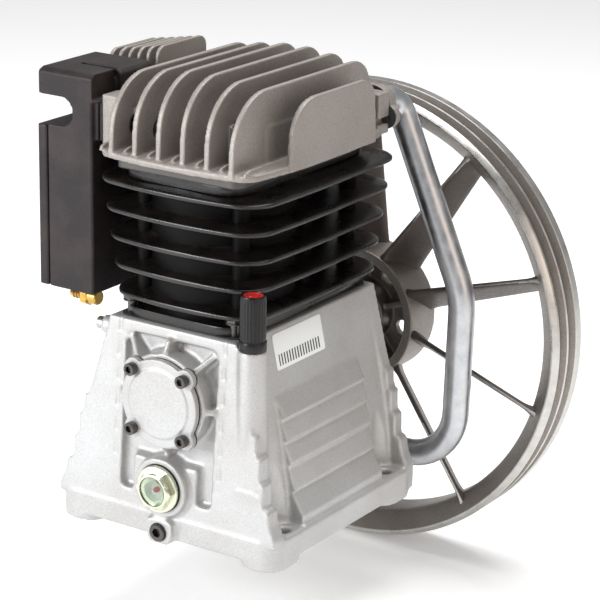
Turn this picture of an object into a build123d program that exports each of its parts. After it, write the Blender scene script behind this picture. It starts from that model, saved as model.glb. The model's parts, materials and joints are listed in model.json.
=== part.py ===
"""Two-stage belt-driven piston compressor pump of the kind that stands on a vertical air tank.

The frame has its origin at the centre of the foot plane. +Z is up, the crankshaft lies along Y with
the flywheel at +Y, and the air filter hangs on the -X side. All lengths are millimetres.
"""
import os
from math import cos, radians, sin, sqrt

from build123d import *

# ---- Driving dimensions ------------------------------------------------------------------------
# Crank train
CRANK_Z = 117.0          # height of the crank axis over the feet
STROKE = 52.0
THROW = STROKE / 2
DECK_Z = 289.0           # top of the cylinder block
ROD_LENGTH = 115.4       # crankpin centre to wrist pin centre
PIN_TO_CROWN = 30.0
CROWN_GAP = 0.6          # piston crown under the deck at top dead centre
LP_Y, HP_Y = -25.0, 64.0  # low pressure and high pressure cylinder centres
LP_R, HP_R = 47.5, 25.0  # bore radii
LINER_WALL = 5.5
PISTON_GAP = 0.08        # running clearance on the radius
LP_PIN_Z = CRANK_Z + THROW
HP_PIN_Z = CRANK_Z - THROW
WEB_R = 44.0
CRANKPIN_R = 14.0
ROD_W = 20.0
JOURNAL_R = 17.5
NOSE_R = 12.5            # front journal

# Crankcase
BASE_X, BASE_Y = 104.0, 102.0    # half sizes of the foot flange
BASE_TOP = 25.4
BASE_UNDER = 5.5
CASE_TOP = 172.0
CASE_TOP_X = 60.0
WALL_FRONT, WALL_BACK = -90.0, 101.0   # front wall at its top edge, back wall
FRONT_LEAN = -101.0      # front wall at the flange
FOOT_HOLE_X, FOOT_HOLE_Y, FOOT_HOLE_R = 92.0, 73.0, 5.5
SUMP_FLOOR = 9.5
PANEL_Z0, PANEL_Z1 = 38.0, 163.0       # recessed panel of the front wall

# Front bearing and cover
FRONT_BEARING_R, FRONT_BEARING_W = 26.0, 15.0
COVER_R, COVER_Y = 35.0, -108.0
COVER_BOLT = 24.0        # half of the square bolt pattern

# Rear bearing housing
REAR_OPENING_R = 45.0
REAR_FLANGE_R = 54.5
REAR_BOLT_R = 49.8
REAR_BEARING_R, REAR_BEARING_W = 40.0, 21.0

# Cylinder block
FIN_COUNT, FIN_PITCH, FIN_TOP_Z, FIN_T = 5, 22.5, 278.0, 3.6
FIN_X, FIN_FRONT, FIN_BACK = 76.0, -88.0, 108.0   # half width and ends of the top fin
FIN_SHRINK = 2.2         # each lower fin is drawn in by this much
FIN_REACH = 24.0         # from a fin's thick root to its thin edge
STUD_X, STUD_Y = 48.0, (-77.0, 16.0, 90.0)
SPIGOT_Z = 163.0         # lower end of the liners

# Head
HEAD_Z = 297.0           # underside of the head plate
PLATE_T = 5.0
HEAD_FIN_PITCH, HEAD_FIN_T = 22.0, 4.6
HEAD_BOLT_X, HEAD_BOLT_Y = 44.0, (-64.0, 18.0, 82.0)
HEAD_FRONT, HEAD_BACK = -95.0, 93.0

# Intercooler tube
TUBE_R, TUBE_WALL = 11.0, 1.5
TUBE_Y = 137.0
TUBE_PORT_X, TUBE_PORT_Z = 54.0, 318.0
PORT_BOLT_X, PORT_BOLT_Z = 14.0, 9.5   # flange screws, from the port centre

# Flywheel
WHEEL_R, WHEEL_Y0, WHEEL_Y1 = 197.0, 160.0, 203.0
GROOVE_Y = (172.3, 187.3)        # the two belt grooves
LIP_R, RIM_IN_R, CONE_Y = 191.5, 177.0, 173.0   # the rim's inside cones in from its front lip
HUB_R, HUB_Y0, HUB_Y1 = 58.0, 165.0, 204.0
SPOKES, SPOKE_T = 10, 5.0
SPOKE_ROOT = (42.0, 32.0, 185.0)     # chord, pitch angle and Y of its centre
SPOKE_TIP = (24.0, 30.0, 172.5)

# Filler post
POST_X, POST_Y = 69.5, -84.0
FILLER_ROOM_R = 11.2     # relief round the cap in the two lowest fins and the case top

# Air filter
FILTER_X0, FILTER_X1 = -128.0, -84.0
FILTER_COVER_X = -137.5
FILTER_Y0, FILTER_Y1 = -80.0, -2.0
FILTER_Z0, FILTER_Z1, LID_Z = 179.5, 354.0, 333.0
INTAKE_Z = 310.0

FREE = 0.4               # gap between pieces that move past each other

os.makedirs("parts", exist_ok=True)


# ---- Helpers -----------------------------------------------------------------------------------
def slab(x0, x1, y0, y1, z0, z1):
    """A box between two opposite corners."""
    return Pos((x0 + x1) / 2, (y0 + y1) / 2, (z0 + z1) / 2) * Box(x1 - x0, y1 - y0, z1 - z0)


def rod_x(r, x0, x1, y, z):
    """A round bar along X."""
    return Pos((x0 + x1) / 2, y, z) * Rot(0, 90, 0) * Cylinder(r, x1 - x0)


def rod_y(r, y0, y1, x=0.0, z=CRANK_Z):
    """A round bar along Y."""
    return Pos(x, (y0 + y1) / 2, z) * Rot(90, 0, 0) * Cylinder(r, y1 - y0)


def rod_z(r, z0, z1, x=0.0, y=0.0):
    """A round bar along Z."""
    return Pos(x, y, (z0 + z1) / 2) * Cylinder(r, z1 - z0)


def prism_y(points, y0, y1, r=0.0):
    """An outline of (x, z) points run along Y, its corners rounded by r."""
    face = Polygon(*points, align=None)
    if r:
        face = fillet(face.vertices(), r)
    return extrude(Plane.XZ.offset(-y0) * face, amount=y1 - y0, dir=(0, 1, 0))


def prism_x(points, x0, x1, r=0.0):
    """An outline of (y, z) points run along X, its corners rounded by r."""
    face = Polygon(*points, align=None)
    if r:
        face = fillet(face.vertices(), r)
    return extrude(Plane.YZ.offset(x0) * face, amount=x1 - x0, dir=(1, 0, 0))


def rounded_plate(x0, x1, y0, y1, z0, z1, r):
    """A flat plate with its four upright edges rounded."""
    face = Pos((x0 + x1) / 2, (y0 + y1) / 2) * RectangleRounded(x1 - x0, y1 - y0, r)
    return extrude(Plane.XY.offset(z0) * face, amount=z1 - z0)


def bulged_face(x, y0, y1, ends, flanks, r):
    """An outline whose two ends and two flanks swell outwards between rounded corners."""
    ym = (y0 + y1) / 2
    sides = [
        ThreePointArc((-x, y0), (0, y0 - ends), (x, y0)),
        ThreePointArc((x, y0), (x + flanks, ym), (x, y1)),
        ThreePointArc((x, y1), (0, y1 + ends), (-x, y1)),
        ThreePointArc((-x, y1), (-x - flanks, ym), (-x, y0)),
    ]
    face = make_face(sides)
    return fillet(face.vertices(), r)


def socket_screw_y(x, z, y_seat, r, length, out=-1.0):
    """A hexagon socket screw along Y, its head on the seat and its shank going in."""
    head_h, head_r = 2 * r, 1.65 * r
    head = rod_y(head_r, min(y_seat, y_seat + out * head_h), max(y_seat, y_seat + out * head_h), x, z)
    head = chamfer(head.edges().sort_by(Axis.Y)[0 if out < 0 else -1], 0.15 * r)
    shank = rod_y(r, min(y_seat, y_seat - out * length), max(y_seat, y_seat - out * length), x, z)
    key = extrude(Plane.XZ.offset(-(y_seat + out * head_h)) * Pos(x, z) * RegularPolygon(0.85 * r, 6),
                  amount=out * 1.2 * r)
    return (head + shank) - key


def hex_bolt_z(x, y, z_seat, r, length, flange=True):
    """A hexagon head bolt pointing down, its head on the seat."""
    head = extrude(Plane.XY.offset(z_seat) * Pos(x, y) * RegularPolygon(1.75 * r, 6), amount=1.3 * r)
    washer = rod_z(1.9 * r, z_seat, z_seat + 0.35 * r, x, y)
    shank = rod_z(r, z_seat - length, z_seat, x, y)
    return head + shank + washer if flange else head + shank


def ball_bearing(y0, width, r_out, r_in, name):
    """Outer ring with its balls in one node and the inner ring in another, of a ball bearing."""
    mid, ball_r = (r_out + r_in) / 2, 0.27 * (r_out - r_in)
    yc = y0 + width / 2
    track = Pos(0, yc, CRANK_Z) * Rot(90, 0, 0) * Torus(mid, ball_r + 0.15)
    outer = rod_y(r_out, y0, y0 + width) - rod_y(mid + 0.35 * (r_out - r_in) / 2, y0, y0 + width) - track
    inner = rod_y(mid - 0.35 * (r_out - r_in) / 2, y0, y0 + width) - rod_y(r_in, y0, y0 + width) - track
    count = 9
    balls = []
    for k in range(count):
        a = radians(360 * k / count)
        balls.append(Pos(mid * cos(a), yc, CRANK_Z + mid * sin(a)) * Sphere(ball_r))
    nodes[f"{name}_outer_race"] = Compound([outer] + balls)
    nodes[f"{name}_inner_race"] = inner


nodes = {}


# ---- Crankcase ---------------------------------------------------------------------------------
def end_outline():
    """Right half of the end plates: straight flank at the top, then five steps down to the flange."""
    return [(CASE_TOP_X, CASE_TOP), (68, 141), (74, 118), (78, 105), (81, 104), (83, 88.5), (86, 87.5),
            (87, 69.5), (90, 68.5), (91, 50), (95.5, 49), (98, 37), (103, 26), (103, BASE_UNDER)]


def mirrored(points):
    """A closed outline from its right half."""
    return points + [(-x, z) for x, z in reversed(points)]


def front_wall_y(z):
    """Y of the leaning front wall at height z."""
    t = (z - BASE_TOP) / (CASE_TOP - BASE_TOP)
    return FRONT_LEAN + t * (WALL_FRONT - FRONT_LEAN)


def crankcase():
    """Cast aluminium crankcase: foot flange, leaning front, stepped end plates and shingled flanks."""
    flange = rounded_plate(-BASE_X, BASE_X, -BASE_Y, BASE_Y, BASE_UNDER, BASE_TOP, 15)
    flange = chamfer(flange.faces().sort_by(Axis.Z)[-1].edges(), 2.0)
    foot = rounded_plate(BASE_X - 38, BASE_X, BASE_Y - 44, BASE_Y, 0, BASE_UNDER + 1, 15)
    feet = [foot, mirror(foot, Plane.YZ), mirror(foot, Plane.XZ), mirror(mirror(foot, Plane.YZ), Plane.XZ)]
    outline = mirrored(end_outline())
    side = [(FRONT_LEAN, BASE_TOP), (WALL_FRONT, CASE_TOP), (WALL_BACK, CASE_TOP), (WALL_BACK, BASE_TOP - 5),
            (FRONT_LEAN, BASE_TOP - 5)]
    lean = prism_x(side, -BASE_X, BASE_X)
    front_plate = prism_y(outline, -106, -84) & lean
    back_plate = prism_y(outline, 89, WALL_BACK)
    flank = [(CASE_TOP_X, CASE_TOP), (67, 141), (73, 116), (77, 98), (81, 76), (85, 50), (88, BASE_UNDER)]
    body = prism_y(mirrored(flank), -88, 92)
    case = body + front_plate + back_plate
    # Shingled panel in the middle of each flank
    rows = [(78, 107), (81, 89.5), (85, 71), (88.5, 51), (96.5, 31)]
    shingles = [(60, 125), (70, 125)]
    for x, z in rows:
        shingles += [(x + 3.2, z + 1), (x + 3.2, z)] if z > 40 else [(x + 3.2, z + 1), (x + 3.2, BASE_TOP - 1)]
        shingles += [(x, z)] if z > 40 else []
    shingles += [(60, BASE_TOP - 1)]
    panel = prism_y(shingles, -57, 58)
    case += panel + mirror(panel, Plane.YZ)
    # Spanner pockets over the four foot bolts, fading out up the flank
    for sx in (-1, 1):
        for y, r in ((-FOOT_HOLE_Y + 1, 15.0), (FOOT_HOLE_Y + 1, 15.0)):
            case -= rod_z(r, BASE_TOP, 140, sx * 96, y)
            case -= slab(min(sx * 96, sx * 130), max(sx * 96, sx * 130), y - r, y + r, BASE_TOP, 140)
    case += flange
    for pad in feet:
        case += pad
    # Filler post in the front corner
    post = Pos(POST_X, POST_Y, (BASE_TOP + 168) / 2 - 1) * Cone(14, 11, 168 - BASE_TOP + 2)
    toe = prism_y([(66, 24), (99, 24), (96, 40), (90, 46), (88, 58), (80, 60), (66, 60)], -99, -90, 1.5)
    case += post + toe
    # Front panel: recess framed by two rails
    recess = slab(-43, 43, -130, -60, PANEL_Z0, PANEL_Z1) & prism_x(
        [(front_wall_y(PANEL_Z0) - 40, PANEL_Z0), (front_wall_y(PANEL_Z0) + 7, PANEL_Z0),
         (front_wall_y(PANEL_Z1) + 7, PANEL_Z1), (front_wall_y(PANEL_Z1) - 40, PANEL_Z1)], -43, 43)
    recess = fillet(recess.edges().filter_by(Axis.Y), 5)
    case -= recess
    for x in (-50.5, 47.5):
        groove = prism_x([(front_wall_y(52) - 30, 52), (front_wall_y(52) + 3, 52),
                          (front_wall_y(171) + 3, 173), (front_wall_y(171) - 30, 173)], x, x + 3)
        case -= groove
    # Bearing boss, its ribs and the lower skirt block
    case += rod_y(38, -102, -80)
    for a in (90, 133, 47, -2, 182, -90):
        gusset = Polygon((34, -101), (38, -101), (62, -88), (62, -82), (34, -82), align=None)
        rib = extrude(Pos(0, 0, -2.2) * gusset, amount=4.4, dir=(0, 0, 1))
        case += Pos(0, 0, CRANK_Z) * Rot(0, -a, 0) * rib & slab(-45, 45, -110, -80, PANEL_Z0, PANEL_Z1 + 2)
    case += prism_x([(front_wall_y(36), 35), (front_wall_y(68) - 0.5, 66), (-85, 70), (-85, 35)], -31, 29)
    # Sight glass boss and drain boss
    case += rod_y(24, -106.5, -84, 0, 48)
    drain_boss = prism_y([(-9, 3), (9, 3), (12, 9), (12, 22), (-12, 22), (-12, 9)], -108, -92, 2)
    case += drain_boss
    # Small pad with a stub bolt on the filter side
    case += rod_x(7.5, -78, -60, -72, 156)
    # Inside: sump, crank chamber, bores
    cavity = [(62, SUMP_FLOOR), (64, 40), (58, 76), (49, 100), (47, 163)]
    case -= prism_y(mirrored(cavity), -76, 86)
    case -= rod_z(LP_R + LINER_WALL + 0.2, 160, 173, 0, LP_Y)
    case -= rod_z(HP_R + LINER_WALL + 0.2, 160, 173, 0, HP_Y)
    case -= rod_y(FRONT_BEARING_R, -110, -82)
    case -= rod_y(19, -90, -70)
    case -= rod_y(REAR_OPENING_R, 80, 110)
    case -= rod_y(10.5, -110, -70, 0, 48)
    case -= rod_y(5, -112, -92, 0, 12)
    case -= rod_y(2.4, -94, -70, 0, 12.2)
    # Room for the cap, and the filler bore from the post's top into the chamber
    case -= rod_z(FILLER_ROOM_R, 168, 173, POST_X, POST_Y)
    case -= rod_z(7.5, 60, 170, POST_X, POST_Y)
    case -= slab(40, POST_X, POST_Y - 4, -70, 60, 74)
    for sx in (-1, 1):
        for sy in (-1, 1):
            case -= rod_z(FOOT_HOLE_R, -1, 40, sx * FOOT_HOLE_X, sy * FOOT_HOLE_Y)
        for y in STUD_Y:
            case -= rod_z(4, 145, 173, sx * STUD_X, y)
        for sz in (-1, 1):
            case -= rod_y(3, -110, -84, sx * COVER_BOLT, CRANK_Z + sz * COVER_BOLT)
    for k in range(6):
        a = radians(30 + 60 * k)
        case -= rod_y(3, 85, 110, REAR_BOLT_R * cos(a), CRANK_Z + REAR_BOLT_R * sin(a))
    return case


nodes["crankcase"] = crankcase()


# ---- Front bearing end -------------------------------------------------------------------------
def cover_plate(y0, y1):
    """Round cover outline with four ears, between two Y planes."""
    plate = rod_y(COVER_R, y0, y1)
    for sx in (-1, 1):
        for sz in (-1, 1):
            plate += rod_y(8.2, y0, y1, sx * COVER_BOLT, CRANK_Z + sz * COVER_BOLT)
            plate += Pos(sx * 17, (y0 + y1) / 2, CRANK_Z + sz * 17) * Rot(0, -45 * sx * sz, 0) * Box(
                20, y1 - y0, 16.4)
    return plate


def front_end():
    """Bearing, cover and its four socket screws at the crank's nose. Returns the gasket."""
    ball_bearing(-97.5, FRONT_BEARING_W, FRONT_BEARING_R, NOSE_R, "front_bearing")
    gasket = cover_plate(-102.8, -102.0) - rod_y(FRONT_BEARING_R, -103, -101)
    cover = cover_plate(COVER_Y, -102.8)
    cover += rod_y(27.5, COVER_Y - 1.2, COVER_Y)
    cover += rod_y(FRONT_BEARING_R - 0.02, -103, -98)
    cover -= rod_y(21, -104, -97)
    screws = []
    for sx in (-1, 1):
        for sz in (-1, 1):
            x, z = sx * COVER_BOLT, CRANK_Z + sz * COVER_BOLT
            gasket -= rod_y(3, -110, -90, x, z)
            cover -= rod_y(3, -112, -90, x, z)
            screws.append(socket_screw_y(x, z, COVER_Y, 3, 20))
    nodes["front_cover"] = cover
    nodes["front_cover_screws"] = Compound(screws)
    return gasket


front_gasket = front_end()


# ---- Rear bearing end --------------------------------------------------------------------------
def rear_end():
    """Rear bearing housing with its gasket, screws, bearing and shaft seal; both gaskets are one node."""
    ball_bearing(92, REAR_BEARING_W, REAR_BEARING_R, JOURNAL_R, "rear_bearing")
    y_gasket = WALL_BACK + 0.8
    gasket = rod_y(REAR_FLANGE_R, WALL_BACK, y_gasket) - rod_y(REAR_OPENING_R, 100, 103)
    housing = rod_y(REAR_FLANGE_R, y_gasket, y_gasket + 8)
    housing += rod_y(REAR_OPENING_R - 0.02, 88, y_gasket + 1)
    housing += rod_y(REAR_OPENING_R, y_gasket, 119)
    housing += rod_y(30, 119, 127)
    housing -= rod_y(REAR_BEARING_R, 87, 92 + REAR_BEARING_W)
    housing -= rod_y(24, 112, 119)
    housing -= rod_y(26, 119, 128)
    screws = []
    for k in range(6):
        a = radians(30 + 60 * k)
        x, z = REAR_BOLT_R * cos(a), CRANK_Z + REAR_BOLT_R * sin(a)
        gasket -= rod_y(3, 100, 103, x, z)
        housing -= rod_y(3, 100, 112, x, z)
        housing -= rod_y(5.6, y_gasket + 8, 121, x, z)
        screws.append(socket_screw_y(x, z, y_gasket + 8, 3, 13, out=1.0))
    nodes["bearing_gaskets"] = Compound([front_gasket, gasket])
    nodes["rear_bearing_housing"] = housing
    nodes["rear_housing_screws"] = Compound(screws)
    nodes["shaft_oil_seal"] = rod_y(26, 119.5, 126.5) - rod_y(JOURNAL_R + 0.05, 119, 127)


rear_end()


# ---- Crankshaft and flywheel -------------------------------------------------------------------
def crankshaft():
    """Three webs on the crank axis; the two crankpins belong to the rod trains."""
    front = rod_y(NOSE_R, -97, -50) + rod_y(18, -75, -47) + rod_y(WEB_R, -47, -37)
    middle = rod_y(WEB_R, -13, -3) + rod_y(20, -3, 42) + rod_y(WEB_R, 42, 52)
    rear = rod_y(WEB_R, 76, 85) + rod_y(22, 85, 92) + rod_y(JOURNAL_R, 92, 165)
    rear += rod_y(16, 165, 198)
    rear -= slab(-2.5, 2.5, 168, 196, CRANK_Z + 12, CRANK_Z + 17)
    rear -= rod_y(5, 172, 199)
    return Compound([front, middle, rear])


def wheel_room():
    """Everything inside the rim: a cone behind the front lip, then a straight bore."""
    room = [(0, WHEEL_Y0 - 5), (LIP_R, WHEEL_Y0 - 5), (LIP_R, WHEEL_Y0), (RIM_IN_R, CONE_Y),
            (RIM_IN_R, WHEEL_Y1 + 5), (0, WHEEL_Y1 + 5)]
    return Pos(0, 0, CRANK_Z) * revolve(Plane.XY * Polygon(*room, align=None), axis=Axis.Y)


def spoke(k):
    """One pitched fan blade of the flywheel, from drum to rim."""
    sections = []
    for r, (chord, pitch, y) in ((HUB_R - 4, SPOKE_ROOT), (LIP_R + 2, SPOKE_TIP)):
        plane = Plane(origin=(r, y, 0), x_dir=(0, 1, 0), z_dir=(1, 0, 0))
        sections.append(plane * Rot(0, 0, -pitch) * Rectangle(chord, SPOKE_T))
    blade = Pos(0, 0, CRANK_Z) * loft(sections)
    blade = (blade & wheel_room()) - rod_y(HUB_R, 150, 210)
    return Pos(0, 0, CRANK_Z) * Rot(0, -(18 + 36 * k), 0) * Pos(0, 0, -CRANK_Z) * blade


def flywheel():
    """Belt rim with two V grooves, ten fan blades, and a drum hub on the shaft end."""
    section = [(LIP_R, WHEEL_Y0), (LIP_R + 2, WHEEL_Y0), (WHEEL_R, WHEEL_Y0 + 3.5)]
    for y in GROOVE_Y:
        section += [(WHEEL_R, y - 6.2), (WHEEL_R - 10.5, y - 2.8), (WHEEL_R - 10.5, y + 2.8), (WHEEL_R, y + 6.2)]
    section += [(WHEEL_R, WHEEL_Y1 - 1), (WHEEL_R - 1, WHEEL_Y1), (RIM_IN_R + 2, WHEEL_Y1),
                (RIM_IN_R, WHEEL_Y1 - 2), (RIM_IN_R, CONE_Y)]
    rim = revolve(Plane.XY * Polygon(*section, align=None), axis=Axis.Y)
    hub = rod_y(HUB_R, HUB_Y0, HUB_Y1) - rod_y(50, HUB_Y0 - 1, 186) - rod_y(51, 194, HUB_Y1 + 1)
    hub += rod_y(27, 168, 200)
    for k in range(5):
        a = radians(90 + 72 * k)
        rib = Pos(0, 180, CRANK_Z) * Rot(0, -(90 + 72 * k), 0) * Pos(38, 0, 0) * Box(25, 13, 5)
        hub += rib
        hub -= rod_y(6.5, 180, 200, 38 * cos(a + radians(36)), CRANK_Z + 38 * sin(a + radians(36)))
    hub -= rod_y(16, 160, 201)
    hub -= slab(-2.5, 2.5, 160, 201, CRANK_Z + 12, CRANK_Z + 18)
    nodes["flywheel_rim"] = Pos(0, 0, CRANK_Z) * rim
    nodes["flywheel_blades"] = Compound([spoke(k) for k in range(SPOKES)])
    nodes["flywheel_hub"] = hub
    nodes["flywheel_key"] = slab(-2.5, 2.5, 168, 196, CRANK_Z + 12, CRANK_Z + 18)
    washer = rod_y(20, 200, 203.5) - rod_y(5.2, 199, 204)
    bolt = extrude(Plane.XZ.offset(-203.5) * Pos(0, CRANK_Z) * RegularPolygon(9.8, 6), amount=-6.5)
    nodes["flywheel_bolt_and_washer"] = Compound([bolt + rod_y(5, 174, 204), washer])


nodes["crankshaft"] = crankshaft()
flywheel()


# ---- Piston trains -----------------------------------------------------------------------------
def piston_train(name, y, bore_r, crank_pin_z, skirt):
    """Crankpin, connecting rod, wrist pin, piston and rings of one cylinder."""
    wrist_z = crank_pin_z + ROD_LENGTH
    crown_z = wrist_z + PIN_TO_CROWN
    piston_r = bore_r - PISTON_GAP
    piston = rod_z(piston_r, crown_z - skirt, crown_z, 0, y)
    piston -= rod_z(bore_r - 6, crown_z - skirt - 1, crown_z - 9, 0, y)
    for x0, x1 in ((-bore_r + 3, -12), (12, bore_r - 3)):
        piston += rod_x(11, x0, x1, y, wrist_z) & rod_z(piston_r, crown_z - skirt, crown_z - 1, 0, y)
    piston -= rod_x(7, -bore_r, bore_r, y, wrist_z)
    rings = []
    for k, depth in enumerate((5.0, 9.5, 15.0)):
        height = 2.0 if k < 2 else 3.0
        groove = rod_z(bore_r + 1, crown_z - depth - height, crown_z - depth, 0, y)
        groove -= rod_z(bore_r - 3, crown_z - depth - height, crown_z - depth, 0, y)
        piston -= groove
        ring = rod_z(bore_r - 0.03, crown_z - depth - height, crown_z - depth, 0, y)
        ring -= rod_z(bore_r - 3, crown_z - depth - height - 1, crown_z - depth + 1, 0, y)
        rings.append(ring)
    rod_body = prism_y([(-9, crank_pin_z + 18), (9, crank_pin_z + 18), (7, wrist_z - 8), (-7, wrist_z - 8)],
                       y - 6, y + 6)
    rod = rod_body + rod_y(22, y - ROD_W / 2, y + ROD_W / 2, 0, crank_pin_z)
    rod += slab(-27, 27, y - 7, y + 7, crank_pin_z - 7, crank_pin_z + 7)
    rod = rod + rod_x(11, -10, 10, y, wrist_z)
    rod -= rod_y(CRANKPIN_R, y - 15, y + 15, 0, crank_pin_z)
    rod -= rod_x(7, -12, 12, y, wrist_z)
    rod -= slab(-4, 4, y - 8, y - 3.5, crank_pin_z + 26, wrist_z - 14)
    rod -= slab(-4, 4, y + 3.5, y + 8, crank_pin_z + 26, wrist_z - 14)
    nodes[f"{name}_piston"] = piston
    nodes[f"{name}_piston_rings"] = Compound(rings)
    nodes[f"{name}_wrist_pin"] = rod_x(7, -bore_r + 5, bore_r - 5, y, wrist_z) - rod_x(
        4, -bore_r, bore_r, y, wrist_z)
    nodes[f"{name}_connecting_rod"] = rod
    nodes[f"{name}_crankpin"] = rod_y(CRANKPIN_R, y - 11.3, y + 11.3, 0, crank_pin_z)


piston_train("low_stage", LP_Y, LP_R, LP_PIN_Z, 50)
piston_train("high_stage", HP_Y, HP_R, HP_PIN_Z, 44)


# ---- Cylinder block ----------------------------------------------------------------------------
def cylinder_block():
    """Two liners in one finned iron casting."""
    lp_out, hp_out = LP_R + LINER_WALL, HP_R + LINER_WALL
    core = rod_z(lp_out + 3, CASE_TOP + 0.8, DECK_Z, 0, LP_Y) + rod_z(hp_out + 3, CASE_TOP + 0.8, DECK_Z, 0, HP_Y)
    core += slab(-30, 30, LP_Y, HP_Y, CASE_TOP + 0.8, DECK_Z)
    core += rounded_plate(-56, 56, -85, 98, CASE_TOP + 0.8, 180, 9)
    core += rounded_plate(-56, 56, -86, 98, 282, DECK_Z, 9)
    core += rod_z(lp_out, SPIGOT_Z, 175, 0, LP_Y) + rod_z(hp_out, SPIGOT_Z, 175, 0, HP_Y)
    for k in range(FIN_COUNT):
        z = FIN_TOP_Z - k * FIN_PITCH
        grow = -FIN_SHRINK * k
        x, y0, y1 = FIN_X + grow, FIN_FRONT - grow, FIN_BACK + grow
        edge = bulged_face(x, y0, y1, 9, 3.5, 20)
        brink = bulged_face(x - 3, y0 + 3, y1 - 3, 9, 3.5, 17)
        root = bulged_face(x - FIN_REACH, y0 + FIN_REACH, y1 - FIN_REACH, 9, 3.5, 12)
        fin = extrude(Plane.XY.offset(z - FIN_T / 2) * edge, amount=FIN_T)
        core += fillet(fin.edges().filter_by(Plane.XY), 1.6)
        for side in (-1, 1):
            thin = Plane.XY.offset(z + side * (FIN_T / 2 - 0.2)) * brink
            thick = Plane.XY.offset(z + side * (FIN_T / 2 + 3.0)) * root
            core += loft([thin, thick])
    for sx in (-1, 1):
        for y in STUD_Y:
            core += rod_z(7.8, 179, 183, sx * STUD_X, y)
            core -= rod_z(4, 170, 184, sx * STUD_X, y)
            core -= rod_z(9.5, 183, 196, sx * STUD_X, y)
        for y in HEAD_BOLT_Y:
            core += rod_z(7, 200, DECK_Z, sx * HEAD_BOLT_X, y)
            core -= rod_z(4, 240, DECK_Z + 1, sx * HEAD_BOLT_X, y)
    core -= rod_z(FILLER_ROOM_R, 184, 216, POST_X, POST_Y)
    core -= rod_z(LP_R, 150, 300, 0, LP_Y) + rod_z(HP_R, 150, 300, 0, HP_Y)
    return core


def block_parts():
    """The block with its base gasket and the six flange bolts."""
    nodes["cylinder_block"] = cylinder_block()
    gasket = rounded_plate(-56, 56, -85, 98, CASE_TOP, CASE_TOP + 0.8, 9)
    gasket -= rod_z(LP_R + LINER_WALL + 0.3, 170, 174, 0, LP_Y) + rod_z(HP_R + LINER_WALL + 0.3, 170, 174, 0, HP_Y)
    bolts = []
    for sx in (-1, 1):
        for y in STUD_Y:
            gasket -= rod_z(4, 171, 174, sx * STUD_X, y)
            bolts.append(hex_bolt_z(sx * STUD_X, y, 183, 4, 34))
    nodes["block_base_gasket"] = gasket
    nodes["block_bolts"] = Compound(bolts)


block_parts()


# ---- Valve plate and head ----------------------------------------------------------------------
def valve_pack():
    """Lower gasket, valve plate with its ports, reeds, and the head gasket."""
    def layer(z0, z1, x=58.0):
        plate = rounded_plate(-x, x, -87, 99, z0, z1, 9)
        for sx in (-1, 1):
            for y in HEAD_BOLT_Y:
                plate -= rod_z(4.2, z0 - 1, z1 + 1, sx * HEAD_BOLT_X, y)
        return plate

    lower = layer(DECK_Z, DECK_Z + 0.8)
    lower -= rod_z(LP_R, 288, 291, 0, LP_Y) + rod_z(HP_R, 288, 291, 0, HP_Y)
    plate = layer(DECK_Z + 0.8, HEAD_Z - 0.8)
    upper = layer(HEAD_Z - 0.8, HEAD_Z)
    reeds = []
    for y, reach in ((LP_Y, 20.0), (HP_Y, 11.0)):
        for sx in (-1, 1):
            for dy in (-0.5, 0.5):
                plate -= rod_z(5, 285, HEAD_Z, sx * reach, y + dy * reach)
            z0 = HEAD_Z - 0.8 if sx > 0 else DECK_Z + 0.4
            reeds.append(slab(sx * reach - 6.5, sx * reach + 6.5, y - reach, y + reach, z0, z0 + 0.4))
        upper -= slab(-reach - 12, -3, y - reach - 6, y + reach + 6, HEAD_Z - 1, HEAD_Z + 1)
        upper -= slab(3, reach + 12, y - reach - 6, y + reach + 6, HEAD_Z - 1, HEAD_Z + 1)
    nodes["valve_plate"] = plate
    nodes["reed_valves"] = Compound(reeds)
    nodes["head_gaskets"] = Compound([lower, upper])


def head_fin(x, y0, y1, top, front_r, back_r):
    """One upright head fin with a swept front corner."""
    face = Polygon((y0, HEAD_Z + 1), (y0 + 4, top), (y1 - 4, top), (y1, HEAD_Z + 1), align=None)
    corners = face.vertices().sort_by(Axis.Y)
    upper = [v for v in corners if v.Y > HEAD_Z + 10]
    front, back = sorted(upper, key=lambda v: v.X)
    face = fillet(front, front_r)
    back = sorted([v for v in face.vertices() if v.Y > HEAD_Z + 10], key=lambda v: v.X)[-1]
    face = fillet(back, back_r)
    return extrude(Plane.YZ.offset(x - HEAD_FIN_T / 2) * face, amount=HEAD_FIN_T, dir=(1, 0, 0))


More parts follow.
